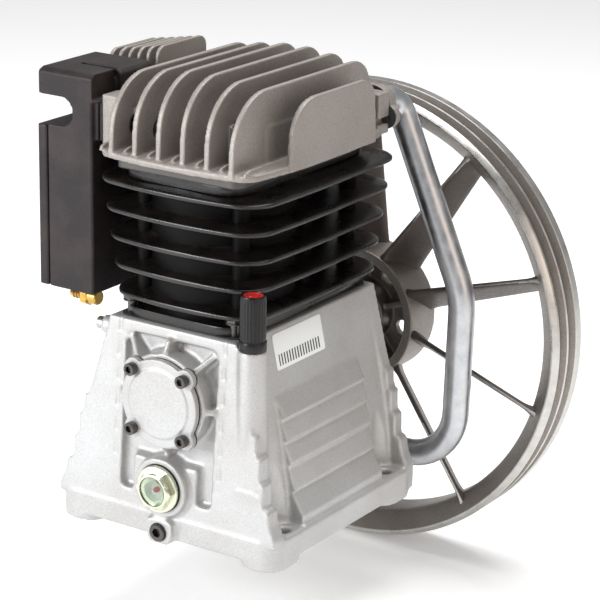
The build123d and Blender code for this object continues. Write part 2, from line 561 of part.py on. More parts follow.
def cylinder_head():
    """Aluminium head: plate, gas chambers, eight tall fins, port blocks and bolt towers."""
    head = extrude(Plane.XY.offset(HEAD_Z) * bulged_face(70, -91, 93, 8, 8, 17), amount=PLATE_T)
    head = fillet(head.edges().group_by(Axis.Z)[-1], 1.2)
    head += rounded_plate(-58, 58, -60, 92, HEAD_Z + 1, 330, 10)
    for sx in (-1, 1):
        head += rod_z(8.6, HEAD_Z + 1, 330, sx * HEAD_BOLT_X, HEAD_BOLT_Y[0])
    tops = {11: 364.0, 33: 361.5, 55: 358.5}
    for x, top in tops.items():
        head += head_fin(x, HEAD_FRONT, HEAD_BACK, top, 44, 24)
        head += head_fin(-x, HEAD_FRONT, HEAD_BACK, top, 44, 24)
    head += head_fin(76, -50, 68, 350, 30, 18)
    head += head_fin(-74, -50, -6, 350, 26, 12)
    # Short ridges on the plate between the fins
    for k in range(-3, 4):
        head += prism_x([(-93, HEAD_Z + 4), (-91, HEAD_Z + 8), (-86, HEAD_Z + 9), (-70, HEAD_Z + 9),
                         (-70, HEAD_Z + 4)], k * HEAD_FIN_PITCH - 1.5, k * HEAD_FIN_PITCH + 1.5)
    # Suction port block at the front left and discharge port block at the left
    head += slab(-79, -56, -74, -54, HEAD_Z + 1, 339)
    head += slab(-79, -56, 8, 58, HEAD_Z + 1, 344)
    # Intercooler port blocks at the rear corners
    for sx in (-1, 1):
        head += slab(min(sx * 38, sx * 70), max(sx * 38, sx * 70), 84, 100, HEAD_Z + 1, 331)
        head -= rod_y(9.5, 70, 101, sx * TUBE_PORT_X, TUBE_PORT_Z)
        for dz in (-1, 1):
            head -= rod_y(3, 84, 101, sx * (TUBE_PORT_X + dz * PORT_BOLT_X), TUBE_PORT_Z - dz * PORT_BOLT_Z)
    # Gas chambers: suction and discharge side over each cylinder
    for y0, y1 in ((-60, 22), (36, 88)):
        head -= slab(-36, -3, y0 + 4, y1 - 4, HEAD_Z - 1, 322)
        head -= slab(3, 36, y0 + 4, y1 - 4, HEAD_Z - 1, 322)
    head -= rod_x(9, -80, -20, -64, 318)
    head -= rod_x(8, -80, -20, 33 + 12, 318)
    for sx in (-1, 1):
        for y in HEAD_BOLT_Y:
            head -= rod_z(4.2, HEAD_Z - 1, 331, sx * HEAD_BOLT_X, y)
            head -= rod_z(8.4, 330, 366, sx * HEAD_BOLT_X, y)
    return head


def head_parts():
    """The head and its six bolts."""
    nodes["cylinder_head"] = cylinder_head()
    bolts = []
    for sx in (-1, 1):
        for y in HEAD_BOLT_Y:
            bolts.append(hex_bolt_z(sx * HEAD_BOLT_X, y, 330, 4, 78, flange=False))
    nodes["head_bolts"] = Compound(bolts)


valve_pack()
head_parts()


# ---- Discharge manifold ------------------------------------------------------------------------
def discharge_manifold():
    """Finned outlet block on the head's left, with a threaded outlet looking back."""
    block = slab(-132, -80, 4, 62, 302, 338)
    block = fillet(block.edges().filter_by(Axis.Y), 6)
    for k in range(6):
        x = -84 - 9.2 * k
        top = 362 - 1.6 * k
        fin = Polygon((1, 300), (2, top), (66, top), (67, 300), align=None)
        fin = fillet([v for v in fin.vertices() if v.Y > 320], 9)
        block += extrude(Plane.YZ.offset(x - 1.6) * fin, amount=3.2, dir=(1, 0, 0))
    block += rod_y(13, 60, 74, -108, 320)
    block -= rod_y(7, 20, 54.1, -108, 320)
    block -= rod_y(8.5, 54, 80, -108, 320)
    block -= rod_x(8, -100, -70, 45, 318)
    screws = []
    for y in (12, 56):
        block -= rod_x(5.4, -140, -96, y, 308)
        block -= rod_x(3, -97, -79, y, 308)
        head = rod_x(5, -101, -96, y, 308) - extrude(
            Plane.YZ.offset(-101) * Pos(y, 308) * RegularPolygon(2.6, 6), amount=3)
        screws.append(head + rod_x(3, -96, -72, y, 308))
    return block, Compound(screws)


def manifold_parts():
    """Outlet block, gasket and screws."""
    block, screws = discharge_manifold()
    gasket = slab(-80, -79, 8, 58, 302, 338) - rod_x(8, -81, -78, 45, 318)
    for y in (12, 56):
        gasket -= rod_x(3.1, -81, -78, y, 308)
        nodes["cylinder_head"] -= rod_x(3, -79.5, -71, y, 308)
    nodes["discharge_manifold"] = block
    nodes["manifold_gasket"] = gasket
    nodes["manifold_screws"] = screws


manifold_parts()


# ---- Intercooler -------------------------------------------------------------------------------
def intercooler():
    """Satin tube from one rear port down behind the crankcase and up to the other."""
    y_gasket = 101.0
    y_flange = 108.0
    right = [(TUBE_PORT_X, y_flange, TUBE_PORT_Z), (TUBE_PORT_X, TUBE_Y, TUBE_PORT_Z), (120.5, TUBE_Y, 163),
             (117.5, TUBE_Y, 18)]
    left = [(-x, y, z) for x, y, z in reversed(right)]
    path = FilletPolyline(*(right + left), radius=[16, 75, 46, 46, 75, 16])
    start = Plane(origin=right[0], z_dir=(0, 1, 0))
    ring = start * (Circle(TUBE_R) - Circle(TUBE_R - TUBE_WALL))
    nodes["intercooler_tube"] = sweep(ring, path=path)
    gaskets, flanges, screws = [], [], []
    for sx in (1, -1):
        x, z = sx * TUBE_PORT_X, TUBE_PORT_Z
        outline = Pos(x, z) * (Circle(15.5) + Rot(0, 0, -34 * sx) * RectangleRounded(48, 19, 9))
        gasket = extrude(Plane.XZ.offset(-100) * outline, amount=-1)
        flange = extrude(Plane.XZ.offset(-y_gasket) * outline, amount=-(y_flange - y_gasket))
        flange += rod_y(14, y_flange, y_flange + 6, x, z)
        gasket -= rod_y(9.5, 99, 102, x, z)
        flange -= rod_y(9.5, 100, 116, x, z)
        flange -= rod_y(TUBE_R, y_flange, 116, x, z)
        for d in (-1, 1):
            hole_x, hole_z = x + d * sx * PORT_BOLT_X, z - d * PORT_BOLT_Z
            gasket -= rod_y(3, 99, 102, hole_x, hole_z)
            flange -= rod_y(3, 100, 116, hole_x, hole_z)
            flange -= rod_y(5.2, y_flange, 120, hole_x, hole_z)
            screws.append(socket_screw_y(hole_x, hole_z, y_flange, 3, 13, out=1.0))
        gaskets.append(gasket)
        flanges.append(flange)
    nodes["intercooler_flanges"] = Compound(flanges)
    nodes["intercooler_gaskets"] = Compound(gaskets)
    nodes["intercooler_screws"] = Compound(screws)


intercooler()


# ---- Air filter --------------------------------------------------------------------------------
def air_filter():
    """Moulded filter box with a pull-off outer cover, a pleated element and an intake slot."""
    lid = rounded_plate(FILTER_COVER_X, FILTER_X1 + 5, FILTER_Y0, FILTER_Y1 - 6, LID_Z, FILTER_Z1, 4)
    lid = chamfer(lid.edges().group_by(Axis.Z)[-1], 3.5)
    body = rounded_plate(FILTER_X0, FILTER_X1, FILTER_Y0, FILTER_Y1, FILTER_Z0, LID_Z, 2)
    neck_block = slab(FILTER_X1 - 2, FILTER_X1 + 3, -76, -52, 303, LID_Z + 1)
    housing = body + neck_block + lid
    housing = housing - slab(FILTER_COVER_X - 1, -103, FILTER_Y0 - 1, FILTER_Y1 + 1, INTAKE_Z + 6, LID_Z - 6)
    housing -= rod_y((LID_Z - INTAKE_Z) / 2, FILTER_Y0 - 1, FILTER_Y1 + 1, -114.5, (LID_Z + INTAKE_Z) / 2)
    housing -= slab(FILTER_COVER_X - 1, -114.5, FILTER_Y0 - 1, FILTER_Y1 + 1, INTAKE_Z, LID_Z)
    # Room for the element, open to the cover
    housing -= slab(FILTER_X0 - 1, FILTER_X1 - 4, FILTER_Y0 + 4, FILTER_Y1 - 4, FILTER_Z0 + 4, INTAKE_Z - 4)
    housing -= rod_x(9, -98, -79, -64, 318)
    housing -= slab(-101, -92, -73, -55, INTAKE_Z - 6, 320)
    # Finger recess in the lid
    housing -= slab(-118, -84, -52, -46, FILTER_Z1 - 8, FILTER_Z1 + 1)
    housing -= slab(-84, -78, -80, -50, LID_Z + 1, FILTER_Z1 + 1)
    gap = FREE
    cover = rounded_plate(FILTER_COVER_X, FILTER_X0 - gap, FILTER_Y0, FILTER_Y1, FILTER_Z0, INTAKE_Z - 1, 2)
    cover -= slab(FILTER_COVER_X + 3.5, FILTER_X0 + 1, FILTER_Y0 + 4, FILTER_Y1 - 4, FILTER_Z0 + 4,
                  INTAKE_Z - 5)
    element = slab(FILTER_X0 + 1, FILTER_X1 - 4.5, FILTER_Y0 + 6, FILTER_Y1 - 6, FILTER_Z0 + 5, INTAKE_Z - 5)
    for k in range(10):
        z = FILTER_Z0 + 12 + 11 * k
        element -= slab(FILTER_X0, FILTER_X0 + 16, FILTER_Y0 + 9, FILTER_Y1 - 9, z, z + 5)
    nodes["filter_housing"] = housing
    nodes["filter_cover"] = cover
    nodes["filter_element"] = element
    nodes["filter_gasket"] = slab(-81, -79, -74, -54, 303, LID_Z) - rod_x(9, -82, -78, -64, 318)


air_filter()


# ---- Small fittings ----------------------------------------------------------------------------
def filler_cap():
    """Push-in filler cap with its red vent disc, seal ring and dipstick."""
    x, y = POST_X, POST_Y
    cap = rod_z(10, 168.3, 211.5, x, y)
    cap = chamfer(cap.edges().group_by(Axis.Z)[-1], 1.0)
    cap += rod_z(10.6, 168.3, 176, x, y)
    for k in range(16):
        a = radians(22.5 * k)
        cap -= rod_z(0.8, 180, 209, x + 10.3 * cos(a), y + 10.3 * sin(a))
    cap += rod_z(7.2, 154, 168.3, x, y)
    cap -= rod_z(8, 209.5, 212, x, y)
    cap -= rod_z(2.0, 149, 160, x, y)
    groove = rod_z(7.6, 158, 161, x, y) - rod_z(5.6, 157, 162, x, y)
    cap -= groove
    nodes["filler_cap"] = cap
    nodes["filler_cap_disc"] = rod_z(8, 209.5, 211, x, y)
    nodes["filler_cap_seal"] = rod_z(7.45, 158, 161, x, y) - rod_z(5.6, 157, 162, x, y)
    nodes["dipstick"] = rod_z(2.0, 80, 160, x, y)


def sight_glass():
    """Oil level glass: plated hexagon body, sealing ring, clear lens and level dot."""
    z = 48.0
    body = rod_y(10.45, -107.5, -86, 0, z) + rod_y(19, -110.5, -107.5, 0, z)
    body += extrude(Plane.XZ.offset(110.5) * Pos(0, z) * RegularPolygon(16.5, 6), amount=6.0)
    body -= rod_y(11.5, -117, -113, 0, z)
    body -= rod_y(8, -118, -80, 0, z)
    nodes["sight_glass_seal"] = rod_y(19.5, -107.5, -106.5, 0, z) - rod_y(10.6, -108, -106, 0, z)
    nodes["sight_glass_body"] = body
    nodes["sight_glass_lens"] = rod_y(11.5, -115.5, -113, 0, z)
    nodes["sight_glass_plate"] = (rod_y(8, -104, -103, 0, z) - rod_y(3, -105, -102, 0, z - 12)
                                  + rod_y(2.0, -105.5, -104, 0, z))


def drain():
    """Socket plug with its ring in the drain boss."""
    head = rod_y(7, -111, -109, 0, 12) + rod_y(5, -109, -94, 0, 12)
    key = extrude(Plane.XZ.offset(111) * Pos(0, 12) * RegularPolygon(3.4, 6), amount=-5)
    nodes["drain_plug"] = head - key
    nodes["drain_seal"] = rod_y(7.5, -109, -108, 0, 12) - rod_y(5.1, -110, -107, 0, 12)


def unloader_fitting():
    """Brass drain elbow under the filter and the stub bolt on the crankcase shoulder."""
    z = 172.0
    fitting = rod_x(6, -104, -90, -66, z) + rod_x(3.6, -116, -104, -66, z)
    nut = extrude(Plane.YZ.offset(-100) * Pos(-66, z) * RegularPolygon(8, 6), amount=7)
    fitting += nut
    fitting += rod_z(5, z, FILTER_Z0, -94, -66)
    fitting -= rod_x(2, -117, -95, -66, z)
    nodes["unloader_fitting"] = fitting
    nodes["case_stub_bolt"] = rod_x(5, -84, -78, -72, 156)


def label():
    """Blank rating label lying on the sloping flank."""
    x0, z0, x1, z1 = CASE_TOP_X, CASE_TOP, 67.0, 141.0
    length = sqrt((x1 - x0) ** 2 + (z1 - z0) ** 2)
    slope = Plane(origin=(x0, -14.0, z0), x_dir=(0, 1, 0), z_dir=(31 / length, 0, 7 / length))
    nodes["rating_label"] = extrude(slope.offset(0.05) * Pos(0, -18.5) * RectangleRounded(66, 28, 2), amount=0.3)


filler_cap()
sight_glass()
drain()
unloader_fitting()
label()


# ---- Export ------------------------------------------------------------------------------------
for node_name, shape in nodes.items():
    export_step(shape, f"parts/{node_name}.step")
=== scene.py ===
"""Looks of a belt-driven two-stage piston compressor pump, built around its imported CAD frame.

Lengths are metres in the CAD's own frame: +Z up, crankshaft along Y, flywheel at +Y, air filter at -X.
"""
import json
import logging
import math
from dataclasses import dataclass
from enum import Enum
from functools import lru_cache

import bmesh
import bpy
from mathutils import Matrix, Vector

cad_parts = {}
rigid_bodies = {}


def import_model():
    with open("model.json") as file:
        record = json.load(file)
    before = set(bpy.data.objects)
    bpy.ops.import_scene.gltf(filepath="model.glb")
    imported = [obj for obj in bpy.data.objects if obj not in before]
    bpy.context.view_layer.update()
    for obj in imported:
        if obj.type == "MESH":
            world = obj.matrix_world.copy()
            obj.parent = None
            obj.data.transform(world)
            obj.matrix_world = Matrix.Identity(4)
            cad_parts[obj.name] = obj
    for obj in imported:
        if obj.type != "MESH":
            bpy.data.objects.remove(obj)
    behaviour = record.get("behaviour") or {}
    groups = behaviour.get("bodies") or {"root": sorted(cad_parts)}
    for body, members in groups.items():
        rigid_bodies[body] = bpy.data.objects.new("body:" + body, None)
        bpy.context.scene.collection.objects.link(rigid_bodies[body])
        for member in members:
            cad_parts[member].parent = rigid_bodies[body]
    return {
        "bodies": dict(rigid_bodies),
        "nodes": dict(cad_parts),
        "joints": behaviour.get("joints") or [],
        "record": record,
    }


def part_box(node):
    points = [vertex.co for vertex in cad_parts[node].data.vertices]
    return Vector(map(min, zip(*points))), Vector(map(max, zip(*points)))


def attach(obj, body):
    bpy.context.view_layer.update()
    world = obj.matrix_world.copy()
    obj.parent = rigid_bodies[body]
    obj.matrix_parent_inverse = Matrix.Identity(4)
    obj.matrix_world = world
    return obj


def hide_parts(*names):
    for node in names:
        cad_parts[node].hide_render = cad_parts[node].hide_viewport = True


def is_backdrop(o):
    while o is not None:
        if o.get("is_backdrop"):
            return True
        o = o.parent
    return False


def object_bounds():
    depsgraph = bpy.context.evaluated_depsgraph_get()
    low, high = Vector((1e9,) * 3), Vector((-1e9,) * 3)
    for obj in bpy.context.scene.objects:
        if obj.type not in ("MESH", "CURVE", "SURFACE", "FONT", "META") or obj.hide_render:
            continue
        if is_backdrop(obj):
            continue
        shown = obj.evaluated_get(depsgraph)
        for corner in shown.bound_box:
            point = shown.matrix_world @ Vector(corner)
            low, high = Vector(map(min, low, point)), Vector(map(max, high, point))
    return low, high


LOG = logging.getLogger("pump")
MM = 0.001
Tree = bpy.types.NodeTree
Socket = bpy.types.NodeSocket
PUMP, CRANK = "pump", "crank"
CAP_BODY, COVER_BODY = "filler_cap", "filter_cover"


# ---- Colour and node helpers -------------------------------------------------------------------
def linear(code: str) -> tuple[float, float, float, float]:
    """Turns an sRGB hex colour into linear RGBA.

    Args:
        code: six hex digits.

    Returns:
        Linear red, green, blue and an alpha of 1.
    """
    parts = [int(code[i:i + 2], 16) / 255 for i in (0, 2, 4)]
    low = [c / 12.92 if c <= 0.04045 else ((c + 0.055) / 1.055) ** 2.4 for c in parts]
    return (low[0], low[1], low[2], 1.0)


def add(tree: Tree, kind: str, props: dict | None = None, inputs: dict | None = None) -> bpy.types.Node:
    """Adds one node with its settings, constants and incoming links.

    Args:
        tree: the node tree that takes the node.
        kind: the node's type name.
        props: node settings by attribute name.
        inputs: by socket name or index, a constant or the output socket to link from.

    Returns:
        The new node.
    """
    node = tree.nodes.new(kind)
    for name, value in (props or {}).items():
        setattr(node, name, value)
    for key, value in (inputs or {}).items():
        if isinstance(value, Socket):
            tree.links.new(value, node.inputs[key])
        else:
            node.inputs[key].default_value = value
    return node


def calc(tree: Tree, operation: str, *terms: "Socket | float") -> Socket:
    """One arithmetic node; gives its result."""
    return add(tree, "ShaderNodeMath", {"operation": operation}, dict(enumerate(terms))).outputs[0]


def blend(tree: Tree, share: "Socket | float", base: "Socket | tuple",
          over: "Socket | tuple", kind: str = "MIX") -> Socket:
    """Lays one colour over another by a share; gives the colour."""
    inputs = {0: share, 6: base, 7: over}
    return add(tree, "ShaderNodeMix", {"data_type": "RGBA", "blend_type": kind}, inputs).outputs[2]


def per_mm(size_mm: float) -> float:
    """Texture scale that gives features of the stated size on object coordinates in metres."""
    return 1 / (size_mm * MM)


# ---- Finishes ----------------------------------------------------------------------------------
class Lay(Enum):
    """Direction of the tool marks on a machined surface."""

    NONE = 0
    ROUND_Y = 1
    ALONG_Z = 2


@dataclass(frozen=True)
class Finish:
    """What every finish has: a material name, a slot in the record and a base colour."""

    name: str
    slot: str
    colour: str

    def start(self) -> tuple[Tree, bpy.types.Node, Socket]:
        """Makes the material with its shader and output.

        Returns:
            The node tree, the principled shader, and the object coordinates.
        """
        material = bpy.data.materials.new(self.name)
        material.use_nodes = True
        tree = material.node_tree
        tree.nodes.clear()
        shader = add(tree, "ShaderNodeBsdfPrincipled", inputs={"Base Color": linear(self.colour)})
        add(tree, "ShaderNodeOutputMaterial", inputs={"Surface": shader.outputs[0]})
        coords = add(tree, "ShaderNodeTexCoord").outputs["Object"]
        return tree, shader, coords

    def build(self) -> bpy.types.Material:
        """Builds the material; each finish has its own."""
        raise NotImplementedError

    def noise(self, tree: Tree, coords: Socket, size_mm: float, detail: float = 3.0,
              rough: float = 0.6) -> Socket:
        """Noise whose grains are about size_mm across.

        Returns:
            The noise factor socket.
        """
        node = add(tree, "ShaderNodeTexNoise", inputs={
            "Vector": coords, "Scale": per_mm(size_mm), "Detail": detail, "Roughness": rough})
        return node.outputs["Fac"]

    def ramp(self, tree: Tree, value: Socket, stops: list[tuple[float, str]]) -> Socket:
        """Colour ramp over a factor.

        Args:
            value: the factor socket.
            stops: position and hex colour of each stop, in order.

        Returns:
            The colour socket.
        """
        node = add(tree, "ShaderNodeValToRGB", inputs={"Fac": value})
        elements = node.color_ramp.elements
        while len(elements) < len(stops):
            elements.new(0.5)
        for element, (place, code) in zip(elements, stops):
            element.position = place
            element.color = linear(code)
        return node.outputs["Color"]

    def spread(self, tree: Tree, value: Socket, low: float, high: float) -> Socket:
        """Maps a 0.3 to 0.7 factor onto low to high, clamped.

        Returns:
            The mapped value socket.
        """
        node = add(tree, "ShaderNodeMapRange", inputs={
            "Value": value, "From Min": 0.3, "From Max": 0.7, "To Min": low, "To Max": high})
        return node.outputs["Result"]

    def bump(self, tree: Tree, height: Socket, depth_mm: float, under: Socket | None = None) -> Socket:
        """Bump from a height factor.

        Args:
            height: the height socket.
            depth_mm: depth of the relief in millimetres.
            under: a bump to lay this one on.

        Returns:
            The normal socket.
        """
        inputs = {"Height": height, "Distance": depth_mm * MM, "Strength": 1.0}
        if under is not None:
            inputs["Normal"] = under
        return add(tree, "ShaderNodeBump", inputs=inputs).outputs["Normal"]


@dataclass(frozen=True)
class CastAluminium(Finish):
    """Die-cast aluminium, shot-blasted: a fine sparkling grain, soft grey clouds and a few dark pits."""

    shade: str = "8e8880"
    pit: str = "5d5853"
    pit_mm: float = 2.6
    grain_mm: float = 0.8
    cloud_mm: float = 60.0
    roughness: float = 0.5
    metallic: float = 0.6

    def build(self) -> bpy.types.Material:
        """Mottled cast metal with grain relief."""
        tree, shader, coords = self.start()
        cloud = self.noise(tree, coords, self.cloud_mm, 4)
        grain = self.noise(tree, coords, self.grain_mm, 2)
        fine = self.noise(tree, coords, self.grain_mm * 3.2, 3)
        cells = add(tree, "ShaderNodeTexVoronoi", inputs={"Vector": coords, "Scale": per_mm(self.pit_mm)})
        base = self.ramp(tree, cloud, [(0.2, self.shade), (0.8, self.colour)])
        speck = self.ramp(tree, grain, [(0.3, self.shade), (0.62, "ffffff")])
        mixed = blend(tree, 0.4, base, speck, "MULTIPLY")
        near = calc(tree, "LESS_THAN", cells.outputs["Distance"], 0.07)
        spot = calc(tree, "MULTIPLY", near, calc(tree, "GREATER_THAN", fine, 0.56))
        tree.links.new(blend(tree, spot, mixed, linear(self.pit)), shader.inputs["Base Color"])
        shader.inputs["Metallic"].default_value = self.metallic
        tree.links.new(self.spread(tree, fine, self.roughness - 0.07, self.roughness + 0.09),
                       shader.inputs["Roughness"])
        relief = self.bump(tree, grain, 0.16)
        tree.links.new(self.bump(tree, fine, 0.07, relief), shader.inputs["Normal"])
        return bpy.data.materials[self.name]


@dataclass(frozen=True)
class GlossEnamel(Finish):
    """Black stoving enamel on cast iron: soft gloss over a slightly wavy casting, a little dust."""

    wave_mm: float = 9.0
    peel_mm: float = 1.6
    dust: str = "2a2422"
    gloss: float = 0.5
    roughness: float = 0.3

    def build(self) -> bpy.types.Material:
        """Black paint with orange peel."""
        tree, shader, coords = self.start()
        wave = self.noise(tree, coords, self.wave_mm, 2)
        peel = self.noise(tree, coords, self.peel_mm, 2)
        dust = self.noise(tree, coords, 26, 5, 0.7)
        stops = [(0.4, self.colour), (0.8, self.dust)]
        tree.links.new(self.ramp(tree, dust, stops), shader.inputs["Base Color"])
        tree.links.new(self.spread(tree, dust, self.roughness - 0.08, self.roughness + 0.1),
                       shader.inputs["Roughness"])
        shader.inputs["Specular IOR Level"].default_value = self.gloss
        tree.links.new(self.bump(tree, peel, 0.04, self.bump(tree, wave, 0.2)), shader.inputs["Normal"])
        return bpy.data.materials[self.name]


@dataclass(frozen=True)
class MouldedPlastic(Finish):
    """Moulded polymer: an eroded tool texture that scatters small soft glints."""

    grain_mm: float = 1.1
    depth_mm: float = 0.22
    roughness: float = 0.52
    worn: str = "3a3230"
    gloss: float = 0.35

    def build(self) -> bpy.types.Material:
        """Grained plastic with a faint bloom."""
        tree, shader, coords = self.start()
        grain = self.noise(tree, coords, self.grain_mm, 2, 0.5)
        bloom = self.noise(tree, coords, 40, 4)
        stops = [(0.4, self.colour), (0.8, self.worn)]
        tree.links.new(self.ramp(tree, bloom, stops), shader.inputs["Base Color"])
        tree.links.new(self.spread(tree, grain, self.roughness + 0.1, self.roughness - 0.1),
                       shader.inputs["Roughness"])
        shader.inputs["Specular IOR Level"].default_value = self.gloss
        tree.links.new(self.bump(tree, grain, self.depth_mm), shader.inputs["Normal"])
        return bpy.data.materials[self.name]


@dataclass(frozen=True)
class MachinedMetal(Finish):
    """Turned, ground or plated metal: fine tool lines, light handling marks."""

    tint: str = "ffffff"
    roughness: float = 0.28
    line_mm: float = 0.5
    lay: Lay = Lay.NONE
    axis_z: float = 0.117
    depth_mm: float = 0.02

    def build(self) -> bpy.types.Material:
        """Metal with tool marks along its lay."""
        tree, shader, coords = self.start()
        shader.inputs["Metallic"].default_value = 1.0
        smear = self.noise(tree, coords, 14, 4)
        lines = self.marks(tree, coords)
        stops = [(0.35, self.colour), (0.7, self.tint)]
        tree.links.new(self.ramp(tree, smear, stops), shader.inputs["Base Color"])
        tree.links.new(self.spread(tree, smear, self.roughness - 0.06, self.roughness + 0.1),
                       shader.inputs["Roughness"])
        tree.links.new(self.bump(tree, lines, self.depth_mm), shader.inputs["Normal"])
        return bpy.data.materials[self.name]

    def marks(self, tree: Tree, coords: Socket) -> Socket:
        """Tool lines: rings about the crank axis, streaks along Z, or an even grain.

        Returns:
            The height socket.
        """
        if self.lay is Lay.ROUND_Y:
            shift = {"Vector": coords, "Location": (0, 0, -self.axis_z)}
            centred = add(tree, "ShaderNodeMapping", inputs=shift)
            wave = add(tree, "ShaderNodeTexWave", {"wave_type": "RINGS", "rings_direction": "Y"},
                       {"Vector": centred.outputs[0], "Scale": per_mm(self.line_mm) / 6.3, "Distortion": 1.5,
                        "Detail": 2.0})
            return wave.outputs["Fac"]
        if self.lay is Lay.ALONG_Z:
            drawn = add(tree, "ShaderNodeMapping", inputs={"Vector": coords, "Scale": (1, 1, 0.03)})
            return self.noise(tree, drawn.outputs[0], self.line_mm, 3)
        return self.noise(tree, coords, self.line_mm, 3)


@dataclass(frozen=True)
class Sheet(Finish):
    """Gasket board, rubber or filter paper: dull and fibrous."""

    fibre_mm: float = 0.6
    roughness: float = 0.85
    dark: str = "101010"

    def build(self) -> bpy.types.Material:
        """Dull fibrous sheet."""
        tree, shader, coords = self.start()
        fibre = self.noise(tree, coords, self.fibre_mm, 4)
        stops = [(0.3, self.dark), (0.65, self.colour)]
        tree.links.new(self.ramp(tree, fibre, stops), shader.inputs["Base Color"])
        shader.inputs["Roughness"].default_value = self.roughness
        tree.links.new(self.bump(tree, fibre, 0.08), shader.inputs["Normal"])
        return bpy.data.materials[self.name]


@dataclass(frozen=True)
class ClearGlass(Finish):
    """Pressed clear lens: faint green, slightly rippled."""

    def build(self) -> bpy.types.Material:
        """Transmitting glass with a ripple."""
        tree, shader, coords = self.start()
        shader.inputs["Transmission Weight"].default_value = 1.0
        shader.inputs["Roughness"].default_value = 0.03
        shader.inputs["IOR"].default_value = 1.5
        ripple = self.noise(tree, coords, 5, 1)
        tree.links.new(self.bump(tree, ripple, 0.1), shader.inputs["Normal"])
        stops = [(0.3, "e4efe6"), (0.7, self.colour)]
        tree.links.new(self.ramp(tree, ripple, stops), shader.inputs["Base Color"])
        return bpy.data.materials[self.name]


@dataclass(frozen=True)
class LabelFilm(Finish):
    """White polyester label with plain ruled bars, no words and no marks."""

    ink: str = "2c2d30"
    bar_mm: float = 3.6
    band: tuple[float, float] = (0.1, 0.42)

    def build(self) -> bpy.types.Material:
        """White film with a band of even bars."""
        tree, shader, coords = self.start()
        split = add(tree, "ShaderNodeSeparateXYZ", inputs={0: coords}).outputs
        low, high = box("rating_label")
        under, over = [low.z + (high.z - low.z) * share for share in self.band]
        phase = calc(tree, "FRACT", calc(tree, "MULTIPLY", split["Y"], per_mm(self.bar_mm)))
        mask = calc(tree, "LESS_THAN", phase, 0.45)
        ends = ((split["Z"], under, "GREATER_THAN"), (split["Z"], over, "LESS_THAN"),
                (split["Y"], low.y + 4 * MM, "GREATER_THAN"), (split["Y"], high.y - 5 * MM, "LESS_THAN"))
        for socket, edge, test in ends:
            mask = calc(tree, "MULTIPLY", mask, calc(tree, test, socket, edge))
        colour = blend(tree, mask, linear(self.colour), linear(self.ink))
        tree.links.new(colour, shader.inputs["Base Color"])
        shader.inputs["Roughness"].default_value = 0.35
        tree.links.new(self.bump(tree, self.noise(tree, coords, 7, 2), 0.05), shader.inputs["Normal"])
        return bpy.data.materials[self.name]


FINISHES: dict[str, Finish] = {f.slot: f for f in (
    CastAluminium("cast_aluminium_shot_blasted", "cast_aluminium", "c9cacb", shade="b9b6b3"),
    CastAluminium("cast_aluminium_as_cast", "head_aluminium", "aaa49f", shade="98918b", roughness=0.55),
    CastAluminium("cast_aluminium_flywheel", "flywheel_aluminium", "a39d97", shade="867f79", roughness=0.42,
                  metallic=0.75),
    # Blade aluminium, darker and browner than the rim: partly a darker cast colour, partly painted shade
    # inside the flywheel.
    CastAluminium("cast_aluminium_blade_dark_and_painted_shade", "blade_skin", "6b625d", shade="4d4541", roughness=0.4),
    GlossEnamel("black_stoving_enamel", "black_enamel", "120f0e"),
    # A darker, duller copy of the black enamel: painted shade on the liner walls and bolt columns deep in the
    # fin gaps; its dust clouds are real dust.
    GlossEnamel("black_enamel_painted_gap_shade", "deep_enamel", "060505", dust="0c0a0a", gloss=0.12, roughness=0.5),
    MachinedMetal("drawn_aluminium_tube", "satin_tube", "b4b6ba", tint="cfd0d2", roughness=0.34,
                  lay=Lay.ALONG_Z, line_mm=1.2, depth_mm=0.03),
    MachinedMetal("black_oxide_steel", "black_oxide_steel", "2a2624", tint="46403c", roughness=0.4,
                  line_mm=0.8),
    MachinedMetal("ground_steel", "machined_steel", "9a9a9a", tint="b8b8b8", roughness=0.3, lay=Lay.ROUND_Y),
    MachinedMetal("yellow_zinc_plate", "zinc_steel", "cfd1bd", tint="e3e6cf", roughness=0.27, line_mm=1.0),
    MachinedMetal("turned_brass", "brass", "b08a45", tint="cda85f", roughness=0.25, line_mm=0.6),
    MouldedPlastic("filter_polyamide_grained", "filter_plastic", "1b1415", grain_mm=1.4, depth_mm=0.3,
                   roughness=0.5, worn="3a2e2e"),
    MouldedPlastic("cap_polyamide", "cap_plastic", "0b0909", grain_mm=1.6, depth_mm=0.06, roughness=0.36,
                   worn="191515"),
    MouldedPlastic("red_polyamide", "red_plastic", "b3201a", grain_mm=2.0, depth_mm=0.05, roughness=0.38,
                   worn="c93a2e"),
    MachinedMetal("aluminium_turned_rim", "turned_rim", "b9b7b3", tint="cfcdc9", roughness=0.3,
                  lay=Lay.ROUND_Y, line_mm=0.6, depth_mm=0.015),
    MouldedPlastic("pale_polyamide", "pale_plastic", "d9dcd4", grain_mm=2.0, depth_mm=0.04, roughness=0.35,
                   worn="e8ebe4"),
    Sheet("gasket_board", "gasket_paper", "3b3d3c", dark="242625"),
    Sheet("nitrile_rubber", "black_rubber", "1a1a1a", dark="0c0c0c", roughness=0.6),
    Sheet("pleated_filter_paper", "filter_paper", "d7c69a", dark="b39f72"),
    ClearGlass("pressed_lens", "clear_glass", "f2f7f2"),
    LabelFilm("polyester_label_film", "label_film", "e9ebea"),
)}


# ---- Mesh work ---------------------------------------------------------------------------------
Point = tuple[float, float]


